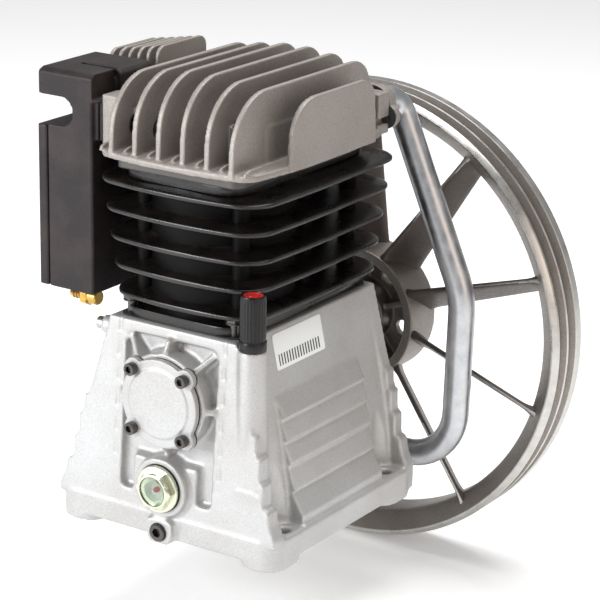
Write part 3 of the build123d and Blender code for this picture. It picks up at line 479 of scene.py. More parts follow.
def rings_mesh(name: str, rings: list[list[Vector]], closed: bool = False) -> bpy.types.Mesh:
    """Skins equal rings into one closed shell.

    Args:
        name: the mesh's name.
        rings: rings of points, all of one length.
        closed: True joins the last ring to the first; False closes both ends with a face.

    Returns:
        The mesh, faces outwards.
    """
    shell = bmesh.new()
    loops = [[shell.verts.new(p) for p in ring] for ring in rings]
    count = len(rings[0])
    pairs = list(zip(loops, loops[1:])) + ([(loops[-1], loops[0])] if closed else [])
    for a, b in pairs:
        for k in range(count):
            shell.faces.new((a[k], a[(k + 1) % count], b[(k + 1) % count], b[k]))
    if not closed:
        shell.faces.new(loops[0][::-1])
        shell.faces.new(loops[-1])
    return finish_mesh(name, shell)


def finish_mesh(name: str, shell: bmesh.types.BMesh, smooth_deg: float = 35.0) -> bpy.types.Mesh:
    """Merges doubles, turns faces outwards and shades smooth below an angle.

    Args:
        name: the mesh's name.
        shell: the mesh under construction, freed here.
        smooth_deg: edges sharper than this stay sharp.

    Returns:
        The finished mesh.
    """
    bmesh.ops.remove_doubles(shell, verts=shell.verts, dist=1e-6)
    bmesh.ops.recalc_face_normals(shell, faces=shell.faces)
    mesh = bpy.data.meshes.new(name)
    shell.to_mesh(mesh)
    shell.free()
    mesh.shade_smooth()
    mesh.set_sharp_from_angle(angle=math.radians(smooth_deg))
    return mesh


class Form(Enum):
    """Cross-section of one ring of a turned piece."""

    ROUND = 0
    HEX = 1


Row = tuple[float, float] | tuple[float, float, Form]


def in_mm(rows: list[Row]) -> list[Row]:
    """A turned profile written in millimetres, given back in metres."""
    return [(row[0] * MM, row[1] * MM, *row[2:]) for row in rows]


def turned_mesh(name: str, profile: list[Row], segments: int = 48, closed: bool = False) -> bpy.types.Mesh:
    """A piece turned about Z, where any ring may be a hexagon measured across its flats.

    Args:
        name: the mesh's name.
        profile: radius and height of each ring from one pole to the other, and its form unless it is round.
        segments: points on each ring.
        closed: True joins the last ring to the first, for a bored piece.

    Returns:
        The mesh.
    """
    rings = []
    for radius, height, *form in profile:
        ring = []
        for k in range(segments):
            a = 2 * math.pi * k / segments
            reach = radius
            if Form.HEX in form:
                reach = radius / math.cos(a % (math.pi / 3) - math.pi / 6)
            ring.append(Vector((reach * math.cos(a), reach * math.sin(a), height)))
        rings.append(ring)
    return rings_mesh(name, rings, closed)


def facing(mesh: bpy.types.Mesh, direction: Vector, place: Vector) -> bpy.types.Mesh:
    """Turns a piece made along Z to face a direction and puts it in its place.

    Returns:
        The same mesh.
    """
    turn = Vector((0, 0, 1)).rotation_difference(Vector(direction)).to_matrix().to_4x4()
    mesh.transform(Matrix.Translation(place) @ turn)
    return mesh


def joined(name: str, meshes: list[bpy.types.Mesh]) -> bpy.types.Mesh:
    """Joins meshes into one and keeps their shading.

    Args:
        name: the new mesh's name.
        meshes: what to join.

    Returns:
        The joined mesh.
    """
    shell = bmesh.new()
    for mesh in meshes:
        shell.from_mesh(mesh)
    out = bpy.data.meshes.new(name)
    shell.to_mesh(out)
    shell.free()
    return out


def evaluated(carrier: bpy.types.Object, name: str) -> bpy.types.Mesh:
    """Plain mesh of an object with its modifiers applied; the carrier is removed.

    Args:
        carrier: object with live modifiers.
        name: the new mesh's name.

    Returns:
        The applied mesh.
    """
    graph = bpy.context.evaluated_depsgraph_get()
    mesh = bpy.data.meshes.new_from_object(carrier.evaluated_get(graph), depsgraph=graph)
    mesh.name = name
    carrier.modifiers.clear()
    bpy.data.objects.remove(carrier)
    return mesh


def linked(name: str, mesh: bpy.types.Mesh) -> bpy.types.Object:
    """Puts a mesh in the scene as an object at the origin."""
    piece = bpy.data.objects.new(name, mesh)
    bpy.context.scene.collection.objects.link(piece)
    return piece


def softened_casting(source: bpy.types.Mesh, skin: "Skin") -> bpy.types.Mesh:
    """Copy of a CAD solid with mould radii on every edge and root.

    Args:
        source: the CAD mesh, copied and left alone.
        skin: remesh size, smoothing and share of faces kept.

    Returns:
        The softened mesh.
    """
    shell = bmesh.new()
    shell.from_mesh(source)
    bmesh.ops.remove_doubles(shell, verts=shell.verts, dist=1e-6)
    copy = bpy.data.meshes.new(skin.node + "_copy")
    shell.to_mesh(copy)
    shell.free()
    carrier = linked(skin.node + "_carrier", copy)
    remesh = carrier.modifiers.new("fuse", "REMESH")
    remesh.mode = "VOXEL"
    remesh.voxel_size = skin.voxel_mm * MM
    smooth = carrier.modifiers.new("soften", "SMOOTH")
    smooth.factor = 0.5
    smooth.iterations = skin.passes
    thin = carrier.modifiers.new("thin", "DECIMATE")
    thin.ratio = skin.keep
    mesh = evaluated(carrier, skin.node + "_cast")
    mesh.shade_smooth()
    return mesh


# ---- Geometry node programs --------------------------------------------------------------------
class Program:
    """A geometry node tree with named inputs, run once on a carrier and baked to a plain mesh."""

    def __init__(self, name: str) -> None:
        """Starts an empty tree.

        Args:
            name: the tree's name.
        """
        self.tree = bpy.data.node_groups.new(name, "GeometryNodeTree")
        self.sockets: dict[str, str] = {}
        self.tree.interface.new_socket("Geometry", in_out="INPUT", socket_type="NodeSocketGeometry")
        self.tree.interface.new_socket("Geometry", in_out="OUTPUT", socket_type="NodeSocketGeometry")
        self.entry = self.tree.nodes.new("NodeGroupInput")

    def take(self, name: str, kind: str) -> bpy.types.NodeSocket:
        """Adds a named input.

        Args:
            name: the input's name.
            kind: Float, Int, Vector, Object or Material.

        Returns:
            The socket that gives its value inside the tree.
        """
        socket = self.tree.interface.new_socket(name, in_out="INPUT", socket_type="NodeSocket" + kind)
        self.sockets[name] = socket.identifier
        return self.entry.outputs[name]

    def close(self, instances: bpy.types.NodeSocket) -> "Program":
        """Realizes the instances, sets the material and ends the tree.

        Args:
            instances: geometry to realize.

        Returns:
            The program.
        """
        real = add(self.tree, "GeometryNodeRealizeInstances", inputs={0: instances})
        dressed = add(self.tree, "GeometryNodeSetMaterial",
                      inputs={"Geometry": real.outputs[0], "Material": self.take("Material", "Material")})
        add(self.tree, "NodeGroupOutput", inputs={0: dressed.outputs[0]})
        return self

    def run(self, name: str, points: list[Vector], **values) -> bpy.types.Mesh:
        """Runs the tree on loose points and bakes the result.

        Args:
            name: the new mesh's name.
            points: the carrier's points.
            values: inputs by name, with _ for a space.

        Returns:
            The baked mesh.
        """
        mesh = bpy.data.meshes.new(name + "_points")
        mesh.from_pydata([tuple(p) for p in points], [], [])
        carrier = linked(name + "_points", mesh)
        modifier = carrier.modifiers.new(name, "NODES")
        modifier.node_group = self.tree
        for key, value in values.items():
            modifier[self.sockets[key.replace("_", " ")]] = value
        return evaluated(carrier, name)


def scatter_program() -> Program:
    """Sets one template on every point, turned to face a direction, with a seeded spin about it.

    Returns:
        A program with inputs Template, Facing, Spin, Seed and Material.
    """
    program = Program("set_on_points")
    tree = program.tree
    info = add(tree, "GeometryNodeObjectInfo", inputs={"Object": program.take("Template", "Object")})
    facing_input = {"Vector": program.take("Facing", "Vector")}
    face = add(tree, "FunctionNodeAlignRotationToVector", {"axis": "Z"}, facing_input)
    spin = add(tree, "FunctionNodeRandomValue", {"data_type": "FLOAT"},
               {2: 0.0, 3: program.take("Spin", "Float"), "Seed": program.take("Seed", "Int")})
    about = add(tree, "FunctionNodeAxisAngleToRotation", inputs={"Axis": (0, 0, 1), "Angle": spin.outputs[1]})
    turn = add(tree, "FunctionNodeRotateRotation", {"rotation_space": "LOCAL"},
               {0: face.outputs[0], 1: about.outputs[0]})
    placed = add(tree, "GeometryNodeInstanceOnPoints", inputs={
        "Points": program.entry.outputs["Geometry"], "Instance": info.outputs["Geometry"],
        "Rotation": turn.outputs[0]})
    return program.close(placed.outputs[0])


def wheel_program() -> Program:
    """Repeats one template evenly about the Y axis through each point.

    Returns:
        A program with inputs Template, Count, Start and Material; Start is in radians.
    """
    program = Program("spread_round_axle")
    tree = program.tree
    info = add(tree, "GeometryNodeObjectInfo", inputs={"Object": program.take("Template", "Object")})
    count = program.take("Count", "Int")
    copies = add(tree, "GeometryNodeDuplicateElements", {"domain": "POINT"},
                 {"Geometry": program.entry.outputs["Geometry"], "Amount": count})
    step = add(tree, "ShaderNodeMath", {"operation": "DIVIDE"}, {0: 2 * math.pi, 1: count})
    angle = add(tree, "ShaderNodeMath", {"operation": "MULTIPLY_ADD"},
                {0: copies.outputs[1], 1: step.outputs[0], 2: program.take("Start", "Float")})
    about = {"Axis": (0, -1, 0), "Angle": angle.outputs[0]}
    turn = add(tree, "FunctionNodeAxisAngleToRotation", inputs=about)
    placed = add(tree, "GeometryNodeInstanceOnPoints", inputs={
        "Points": copies.outputs[0], "Instance": info.outputs["Geometry"], "Rotation": turn.outputs[0]})
    return program.close(placed.outputs[0])


# ---- Sub-assemblies ----------------------------------------------------------------------------
@lru_cache(maxsize=None)
def box(node: str) -> tuple[Vector, Vector]:
    """Lowest and highest corner of a CAD node at rest, looked up once."""
    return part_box(node)


def islands(mesh: bpy.types.Mesh) -> list[tuple[Vector, Vector]]:
    """Boxes of the separate solids in one CAD node.

    Args:
        mesh: the node's mesh.

    Returns:
        Lowest and highest corner of each solid.
    """
    shell = bmesh.new()
    shell.from_mesh(mesh)
    bmesh.ops.remove_doubles(shell, verts=shell.verts, dist=1e-6)
    shell.verts.index_update()
    seen: set[int] = set()
    boxes = []
    for first in shell.verts:
        if first.index in seen:
            continue
        seen.add(first.index)
        queue, points = [first], []
        while queue:
            vert = queue.pop()
            points.append(vert.co.copy())
            for edge in vert.link_edges:
                other = edge.other_vert(vert)
                if other.index not in seen:
                    seen.add(other.index)
                    queue.append(other)
        boxes.append((Vector(map(min, zip(*points))), Vector(map(max, zip(*points)))))
    shell.free()
    return boxes


@dataclass
class Assembly:
    """A sub-assembly: builds detailed pieces in place of CAD nodes and gives them their finish."""

    frame: dict
    materials: dict[str, bpy.types.Material]

    def build(self) -> None:
        """Builds and shows every piece of the sub-assembly."""
        raise NotImplementedError

    def mesh_of(self, node: str) -> bpy.types.Mesh:
        """The CAD mesh of a node, for reading only."""
        return self.frame["nodes"][node].data

    def show(self, name: str, mesh: bpy.types.Mesh, body: str, slots: list[str],
             *nodes: str) -> bpy.types.Object:
        """Dresses a finished mesh and lets it ride on its body in place of CAD nodes.

        Args:
            name: the piece's name.
            mesh: its final mesh, in the frame.
            body: the body it rides on.
            slots: its material slots, in the order of its face indices.
            nodes: the CAD nodes it stands for.

        Returns:
            The piece.
        """
        places = [face.material_index for face in mesh.polygons]
        mesh.materials.clear()
        for slot in slots:
            mesh.materials.append(self.materials[slot])
        mesh.polygons.foreach_set("material_index", [min(place, len(slots) - 1) for place in places])
        piece = linked(name, mesh)
        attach(piece, body)
        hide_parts(*nodes)
        LOG.info("%s: %d faces on %s", name, len(mesh.polygons), body)
        return piece


@dataclass(frozen=True)
class Skin:
    """How one casting or moulding is softened."""

    node: str
    body: str
    slot: str
    voxel_mm: float
    passes: int
    keep: float


@dataclass
class Castings(Assembly):
    """Castings and mouldings with the soft edges and roots that a mould leaves."""

    skins: tuple[Skin, ...] = (
        Skin("crankcase", PUMP, "cast_aluminium", 1.5, 3, 0.42),
        Skin("front_cover", PUMP, "cast_aluminium", 0.8, 2, 0.5),
        Skin("rear_bearing_housing", PUMP, "cast_aluminium", 1.0, 2, 0.5),
        Skin("cylinder_head", PUMP, "head_aluminium", 1.1, 2, 0.33),
        Skin("discharge_manifold", PUMP, "head_aluminium", 0.9, 2, 0.5),
        Skin("intercooler_flanges", PUMP, "head_aluminium", 0.7, 2, 0.5),
        Skin("filter_housing", PUMP, "filter_plastic", 1.0, 6, 0.5),
        Skin("filter_cover", COVER_BODY, "filter_plastic", 0.9, 6, 0.5),
        Skin("flywheel_hub", CRANK, "flywheel_aluminium", 1.1, 2, 0.5),
    )

    def build(self) -> None:
        """Softens each casting in turn."""
        for skin in self.skins:
            mesh = softened_casting(self.mesh_of(skin.node), skin)
            self.show(skin.node + "_casting", mesh, skin.body, [skin.slot], skin.node)


@dataclass
class CylinderBlock(Assembly):
    """Enamelled iron block: two liners, bolt columns, two flanges and five deep fins with thick roots."""

    count: int = 5
    pitch_mm: float = 22.5
    top_mm: float = 11.0
    draw_in_mm: float = 2.2
    edge_mm: float = 1.8
    root_mm: float = 4.6
    wall_mm: float = 8.5
    web_mm: float = 30.0
    rays: int = 220

    def centres(self) -> list[tuple[float, float]]:
        """Y and bore radius of the two cylinders, read from the pistons.

        Returns:
            (y, radius) of the low and the high stage.
        """
        out = []
        for stage in ("low_stage_piston", "high_stage_piston"):
            low, high = box(stage)
            out.append(((low.y + high.y) / 2, (high.x - low.x) / 2))
        return out

    def wall(self, angle: float, middle: float, grow: float) -> float:
        """Distance from the block's middle to the outside of its walls along a ray.

        Args:
            angle: direction of the ray in the XY plane.
            middle: Y of the ray's start.
            grow: moves the wall outwards, in metres.

        Returns:
            The distance.
        """
        c, s = math.cos(angle), math.sin(angle)
        reach = 0.0
        for y, bore in self.centres():
            radius, offset = bore + self.wall_mm * MM + grow, y - middle
            root = radius * radius - (offset * c) ** 2
            if root > 0:
                reach = max(reach, offset * s + math.sqrt(root))
        web = (self.web_mm * MM + grow) / max(abs(c), 1e-6)
        low_y, high_y = self.centres()[0][0], self.centres()[1][0]
        if low_y < middle + web * s < high_y:
            reach = max(reach, web)
        return reach

    def outline(self, drawn: float) -> list[Vector]:
        """Edge of a fin: swollen ends and flanks between round corners, walked by angle.

        Args:
            drawn: how far the edge is drawn in, in metres.

        Returns:
            One point for each ray, about the block's middle.
        """
        low, high = box("cylinder_block")
        half_x, half_y = (high.x - low.x) / 2 - drawn, (high.y - low.y) / 2 - drawn
        middle = (low.y + high.y) / 2
        corner, flank, end = 20 * MM, 3.5 * MM, 9 * MM
        points = []
        for k in range(self.rays):
            a = 2 * math.pi * k / self.rays
            c, s = math.cos(a), math.sin(a)
            reach = 0.3
            for _ in range(12):
                x, y = reach * c, reach * s
                side = half_x - flank * (y / half_y) ** 2
                face = half_y - end * (x / half_x) ** 2
                dx, dy = abs(x) - (side - corner), abs(y) - (face - corner)
                over = math.hypot(max(dx, 0), max(dy, 0)) + min(max(dx, dy), 0) - corner
                reach -= over * 0.9
            points.append(Vector((reach * c, middle + reach * s, 0)))
        return points

    def fin(self, k: int) -> bpy.types.Mesh:
        """One fin: a thin rounded edge, a root that thickens to the wall and a fillet on it.

        Args:
            k: fins from the top.

        Returns:
            The fin's mesh.
        """
        low, high = box("cylinder_block")
        middle = (low.y + high.y) / 2
        z = high.z - (self.top_mm + self.pitch_mm * k) * MM
        edge = self.outline(self.draw_in_mm * k * MM)
        inner = []
        for j in range(self.rays):
            a = 2 * math.pi * j / self.rays
            reach = self.wall(a, middle, -3 * MM)
            inner.append(Vector((reach * math.cos(a), middle + reach * math.sin(a), 0)))
        side = []
        for share in (1.0, 0.93, 0.88, 0.82, 0.74, 0.6, 0.4, 0.2, 0.08):
            depth = self.edge_mm + (self.root_mm - self.edge_mm) * share
            fillet = 4.5 * max(0.0, (share - 0.72) / 0.28) ** 2.2
            side.append((share, (depth + fillet) * MM))
        side += [(0.03, 1.75 * MM), (0.012, 1.35 * MM), (0.0, 0.7 * MM)]
        section = side + [(share, -height) for share, height in reversed(side)]
        rings = []
        for share, height in section:
            rings.append([e.lerp(i, share) + Vector((0, 0, z + height)) for e, i in zip(edge, inner)])
        return rings_mesh(f"fin_{k}", rings, closed=True)

    def walls(self) -> list[bpy.types.Mesh]:
        """The two liners, each a closed ring with a step near its foot."""
        low, high = box("cylinder_block")
        meshes = []
        for y, bore in self.centres():
            inner, outer = bore + 0.1 * MM, bore + self.wall_mm * MM
            section = [(inner, low.z), (outer - 3 * MM, low.z), (outer - 3 * MM, low.z + 10 * MM),
                       (outer, low.z + 12 * MM), (outer, high.z - 0.2 * MM), (inner, high.z - 0.2 * MM)]
            meshes.append(self.lathe(section, y))
        return meshes

    def lathe(self, section: list[Point], y: float) -> bpy.types.Mesh:
        """A closed section turned about a cylinder's own axis.

        Args:
            section: (radius, height) corners.
            y: Y of the axis.

        Returns:
            The mesh.
        """
        rings = []
        for k in range(96):
            a = 2 * math.pi * k / 96
            rings.append([Vector((r * math.cos(a), y + r * math.sin(a), z)) for r, z in section])
        return rings_mesh("liner", rings, closed=True)

    def flange(self, z0: float, z1: float) -> bpy.types.Mesh:
        """Plate with round corners, open inside where it follows the walls.

        Args:
            z0: underside.
            z1: top side.

        Returns:
            The mesh.
        """
        low, high = box("head_gaskets")
        middle = (low.y + high.y) / 2
        half_x, half_y = (high.x - low.x) / 2 - 1.5 * MM, (high.y - low.y) / 2 - 1.5 * MM
        outer, inner = [], []
        for j in range(self.rays):
            a = 2 * math.pi * j / self.rays
            c, s = math.cos(a), math.sin(a)
            reach = (abs(c / half_x) ** 7 + abs(s / half_y) ** 7) ** (-1 / 7)
            outer.append(Vector((reach * c, middle + reach * s, 0)))
            hold = self.wall(a, middle, -4 * MM)
            inner.append(Vector((hold * c, middle + hold * s, 0)))
        rings = []
        for share, z in ((1, z0), (0.02, z0), (0, z0 + 1 * MM), (0, z1 - 1 * MM), (0.02, z1), (1, z1)):
            rings.append([o.lerp(i, share) + Vector((0, 0, z)) for o, i in zip(outer, inner)])
        return rings_mesh("flange", rings, closed=True)

    def bosses(self) -> list[bpy.types.Mesh]:
        """Columns that carry the head bolts down through the fins."""
        low, high = box("cylinder_block")
        meshes = []
        for bolt_low, bolt_high in islands(self.mesh_of("head_bolts")):
            x, y = (bolt_low.x + bolt_high.x) / 2, (bolt_low.y + bolt_high.y) / 2
            r = 7 * MM
            column = turned_mesh("boss", [(r, 0), (r, high.z - low.z - 10 * MM)], 32)
            column.transform(Matrix.Translation((x, y, low.z + 9.5 * MM)))
            meshes.append(column)
        return meshes

    def build(self) -> None:
        """Joins fins and flanges in gloss, and walls and columns in a darker, duller enamel that paints the
        shade of the fin gaps.
        """
        low, high = box("cylinder_block")
        base_low, _ = box("block_base_gasket")
        inner = self.walls() + self.bosses()
        # Walls and columns take the darker enamel copy, which paints the shade between the fins.
        for mesh in inner:
            mesh.polygons.foreach_set("material_index", [1] * len(mesh.polygons))
        foot = base_low.z + 0.8 * MM
        outer = [self.fin(k) for k in range(self.count)]
        outer += [self.flange(foot, foot + 7 * MM), self.flange(high.z - 7 * MM, high.z)]
        block = joined("block", outer + inner)
        self.show("cylinder_block_enamelled", block, PUMP, ["black_enamel", "deep_enamel"], "cylinder_block")


@dataclass
class Flywheel(Assembly):
    """Belt rim turned bright outside, cast inside, with ten pitched fan blades."""

    blades: int = 10
    start_deg: float = 18.0
    root: tuple[float, float, float] = (42.0, 32.0, 20.0)
    tip: tuple[float, float, float] = (24.0, 30.0, 12.5)
    thick_mm: float = 4.6

    def axle(self) -> float:
        """Z of the crank axis."""
        low, high = box("flywheel_rim")
        return (low.z + high.z) / 2

    def section(self) -> list[tuple[float, float, int]]:
        """Radius, Y and finish index of the rim's corners, walked round the section."""
        low, high = box("flywheel_rim")
        radius, front, back = (high.x - low.x) / 2, low.y, high.y
        lip, bore = radius - 5.5 * MM, radius - 20 * MM
        points = [(lip, front + 0.4 * MM, 1), (lip + 0.5 * MM, front, 1), (lip + 1.6 * MM, front, 1),
                  (radius - 0.6 * MM, front + 3.2 * MM, 1), (radius, front + 4.2 * MM, 1)]
        # Groove walls and bottoms take index 0, the darker cast finish, which paints shade into the belt
        # grooves; the lands and lip stay turned.
        for offset in (12.3, 27.3):
            y = front + offset * MM
            points += [(radius, y - 6.9 * MM, 1), (radius - 0.6 * MM, y - 6.2 * MM, 1),
                       (radius - 10 * MM, y - 3.1 * MM, 0), (radius - 10.5 * MM, y - 2.2 * MM, 0),
                       (radius - 10.5 * MM, y + 2.2 * MM, 0), (radius - 10 * MM, y + 3.1 * MM, 0),
                       (radius - 0.6 * MM, y + 6.2 * MM, 1), (radius, y + 6.9 * MM, 1)]
        points += [(radius, back - 1 * MM, 1), (radius - 1 * MM, back, 1), (bore + 3 * MM, back, 0),
                   (bore + 0.8 * MM, back - 0.8 * MM, 0), (bore, back - 3 * MM, 0),
                   (bore, front + 17 * MM, 0), (bore + 0.5 * MM, front + 14 * MM, 0),
                   (bore + 2 * MM, front + 11.6 * MM, 0)]
        return points

    def rim(self) -> bpy.types.Mesh:
        """The rim, its belt faces and lip in the turned finish."""
        z0 = self.axle()
        corners = self.section()
        rings = []
        for k in range(192):
            a = 2 * math.pi * k / 192
            rings.append([Vector((r * math.cos(a), y, z0 + r * math.sin(a))) for r, y, _ in corners])
        mesh = rings_mesh("rim", rings, closed=True)
        edges = [(y, r) for r, y, _ in corners]
        for face in mesh.polygons:
            r, y = math.hypot(face.center.x, face.center.z - z0), face.center.y
            gaps = []
            for k, (y1, r1) in enumerate(edges):
                y2, r2 = edges[(k + 1) % len(edges)]
                gaps.append((math.hypot((y1 + y2) / 2 - y, (r1 + r2) / 2 - r), k))
            index = min(gaps)[1]
            face.material_index = min(corners[index][2], corners[(index + 1) % len(corners)][2])
        return mesh

    def inside(self, y: float) -> float:
        """Radius of the rim's inside at a given Y."""
        low, high = box("flywheel_rim")
        radius = (high.x - low.x) / 2
        share = min(max((y - low.y) / (13 * MM), 0.0), 1.0)
        return radius - (5.5 + 14.5 * share) * MM

    def blade(self) -> bpy.types.Mesh:
        """One blade pointing along X, flared where it joins the drum and the rim."""
        hub_low, hub_high = box("flywheel_hub")
        rim_low, _ = box("flywheel_rim")
        drum = (hub_high.x - hub_low.x) / 2
        rings = []
        steps = 26
        for k in range(steps + 1):
            t = k / steps
            chord, pitch, y = [a + (b - a) * t for a, b in zip(self.root, self.tip)]
            flare = 5.5 * max(0.0, 1 - t / 0.09) ** 2 + 4.0 * max(0.0, (t - 0.9) / 0.1) ** 2
            half, length = (self.thick_mm + flare) / 2 * MM, chord / 2 * MM
            c, s = math.cos(math.radians(-pitch)), math.sin(math.radians(-pitch))
            ring = []
            for j in range(28):
                a = 2 * math.pi * j / 28
                u = math.copysign(abs(math.cos(a)) ** 0.35, math.cos(a)) * length
                v = math.copysign(abs(math.sin(a)) ** 0.6, math.sin(a)) * half
                py, pz = rim_low.y + 5 * MM + y * MM + u * c - v * s, u * s + v * c
                x0 = math.sqrt((drum - 2.5 * MM) ** 2 - pz * pz)
                x1 = math.sqrt((self.inside(py) + 2.0 * MM) ** 2 - pz * pz)
                ring.append(Vector((x0 + (x1 - x0) * t, py, pz)))
            rings.append(ring)
        return rings_mesh("blade", rings)

    def build(self) -> None:
        """Shows the rim and spreads the blades about the axle."""
        slots = ["flywheel_aluminium", "turned_rim"]
        self.show("flywheel_rim_turned", self.rim(), CRANK, slots, "flywheel_rim")
        template = linked("blade_template", self.blade())
        mesh = wheel_program().run("flywheel_blades_cast", [Vector((0, 0, self.axle()))], Template=template,
                                   Count=self.blades, Start=math.radians(self.start_deg),
                                   Material=self.materials["flywheel_aluminium"])
        bpy.data.objects.remove(template)
        for face in mesh.polygons:
            out = math.hypot(face.center.x, face.center.z - self.axle())
            face.material_index = 1 if face.normal.y < -0.86 and out > 108 * MM else 0
        # The blades take the darker blade aluminium, which is partly painted shade inside the flywheel.
        self.show("flywheel_blades_cast", mesh, CRANK, ["blade_skin", "turned_rim"], "flywheel_blades")


@dataclass
class Fasteners(Assembly):
    """Every screw and bolt, set on the places of the CAD's own ones by one program."""

    spin: float = 1.05
    seed: int = 7

    def socket_screw(self, radius: float, head: float, depth: float) -> bpy.types.Mesh:
        """Socket head pointing along Z from its seat, with a rounded rim.

        Args:
            radius: head radius.
            head: head height.
            depth: how far the shank reaches under the seat.

        Returns:
            The mesh.
        """
        r, h, key = radius, head, radius * 0.5
        profile = [(0.1 * r, -depth), (0.58 * r, -depth), (0.58 * r, 0),
                   (0.97 * r, 0), (r, 0.06 * h), (r, 0.8 * h),
                   (0.97 * r, 0.93 * h), (0.88 * r, h), (0.7 * r, h),
                   (key * 1.06, h - 0.02 * h, Form.HEX), (key, 0.94 * h, Form.HEX), (key, 0.42 * h, Form.HEX),
                   (0.05 * key, 0.3 * h)]
        return turned_mesh("socket_screw", profile, 48)

    def hex_bolt(self, flats: float, head: float, depth: float) -> bpy.types.Mesh:
        """Hexagon bolt with a flange washer, pointing along Z from its seat.

        Args:
            flats: half the width across the flats.
            head: head height.
            depth: how far the shank reaches under the seat.

        Returns:
            The mesh.
        """
        f, h = flats, head
        profile = [(0.05 * f, -depth), (0.6 * f, -depth), (0.6 * f, 0),
                   (1.16 * f, 0), (1.18 * f, 0.1 * h), (1.1 * f, 0.24 * h),
                   (f, 0.28 * h, Form.HEX), (f, 0.86 * h, Form.HEX), (0.93 * f, 0.98 * h),
                   (0.8 * f, h), (0.05 * f, h * 0.97)]
        return turned_mesh("hex_bolt", profile, 48)

    def scatter(self, node: str, name: str, template: bpy.types.Mesh, axis: Vector, back: float) -> None:
        """Sets a template on each solid of a node.

        Args:
            node: CAD node whose solids give the places.
            name: the piece's name.
            template: mesh along Z with its seat at zero.
            axis: direction the heads face.
            back: distance from the head's outer face to the seat.
        """
        places = []
        for low, high in islands(self.mesh_of(node)):
            middle = (low + high) / 2
            half = Vector((high - low)) / 2
            reach = sum(abs(half[i] * axis[i]) for i in range(3))
            places.append(middle + axis * (reach - back))
        holder = linked(name + "_template", template)
        mesh = scatter_program().run(name, places, Template=holder, Facing=axis, Spin=self.spin,
                                     Seed=self.seed, Material=self.materials["black_oxide_steel"])
        bpy.data.objects.remove(holder)
        self.show(name, mesh, PUMP, ["black_oxide_steel"], node)

    def build(self) -> None:
        """Sets the cover, housing, flange and manifold screws and the bolts of block and head."""
        front, back, side, up = Vector((0, -1, 0)), Vector((0, 1, 0)), Vector((-1, 0, 0)), Vector((0, 0, 1))
        m6 = self.socket_screw(4.95 * MM, 6 * MM, 12 * MM)
        self.scatter("front_cover_screws", "front_cover_screw_set", m6.copy(), front, 6 * MM)
        self.scatter("rear_housing_screws", "rear_housing_screw_set", m6.copy(), back, 6 * MM)
        self.scatter("intercooler_screws", "intercooler_screw_set", m6.copy(), back, 6 * MM)
        low_head = self.socket_screw(4.95 * MM, 5 * MM, 12 * MM)
        self.scatter("manifold_screws", "manifold_screw_set", low_head, side, 5 * MM)
        bolt = self.hex_bolt(6.0 * MM, 5.2 * MM, 25 * MM)
        self.scatter("block_bolts", "block_bolt_set", bolt.copy(), up, 5.2 * MM)
        self.scatter("head_bolts", "head_bolt_set", bolt.copy(), up, 5.2 * MM)


@dataclass
class IntercoolerTube(Assembly):
    """Satin tube bent from one rear port down behind the case and up to the other."""

    sides: int = 40
    bends_mm: tuple[float, ...] = (16.0, 75.0, 46.0, 46.0, 75.0, 16.0)

    def corners(self) -> list[Vector]:
        """Corner points of the tube's centreline, from its own box and its flanges."""
        low, high = box("intercooler_tube")
        flange_low, flange_high = box("intercooler_flanges")
        port_x = islands(self.mesh_of("intercooler_flanges"))
        port_x = max((a.x + b.x) / 2 for a, b in port_x)
        port_z = (flange_low.z + flange_high.z) / 2
        r = 11 * MM
        line_y, wide, deep = high.y - r, high.x - r, low.z + r
        right = [Vector((port_x, low.y, port_z)), Vector((port_x, line_y, port_z)),
                 Vector((wide + 1.5 * MM, line_y, deep + 145 * MM)), Vector((wide - 1.5 * MM, line_y, deep))]
        return right + [Vector((-p.x, p.y, p.z)) for p in reversed(right)]

    def line(self) -> list[Vector]:
        """The centreline with its bends rounded."""
        corners = self.corners()
        points = [corners[0]]
        for k, radius in enumerate(self.bends_mm, 1):
            here = corners[k]
            into, out = (corners[k - 1] - here).normalized(), (corners[k + 1] - here).normalized()
            half = into.angle(out) / 2
            reach = radius * MM / math.tan(half)
            centre = here + (into + out).normalized() * (radius * MM / math.sin(half))
            first, last = here + into * reach - centre, here + out * reach - centre
            for j in range(13):
                points.append(centre + first.slerp(last, j / 12) * radius * MM)
        return points + [corners[-1]]

    def build(self) -> None:
        """Sweeps the round section along the centreline."""
        line = self.line()
        rings = []
        side = Vector((0, 0, 1))
        for k, point in enumerate(line):
            ahead = (line[min(k + 1, len(line) - 1)] - line[max(k - 1, 0)]).normalized()
            side = (side - ahead * side.dot(ahead)).normalized()
            over = ahead.cross(side)
            ring = []
            for j in range(self.sides):
                a = 2 * math.pi * j / self.sides
                ring.append(point + (side * math.cos(a) + over * math.sin(a)) * 10.98 * MM)
            rings.append(ring)
        tube = rings_mesh("tube", rings)
        self.show("intercooler_tube_bent", tube, PUMP, ["satin_tube"], "intercooler_tube")


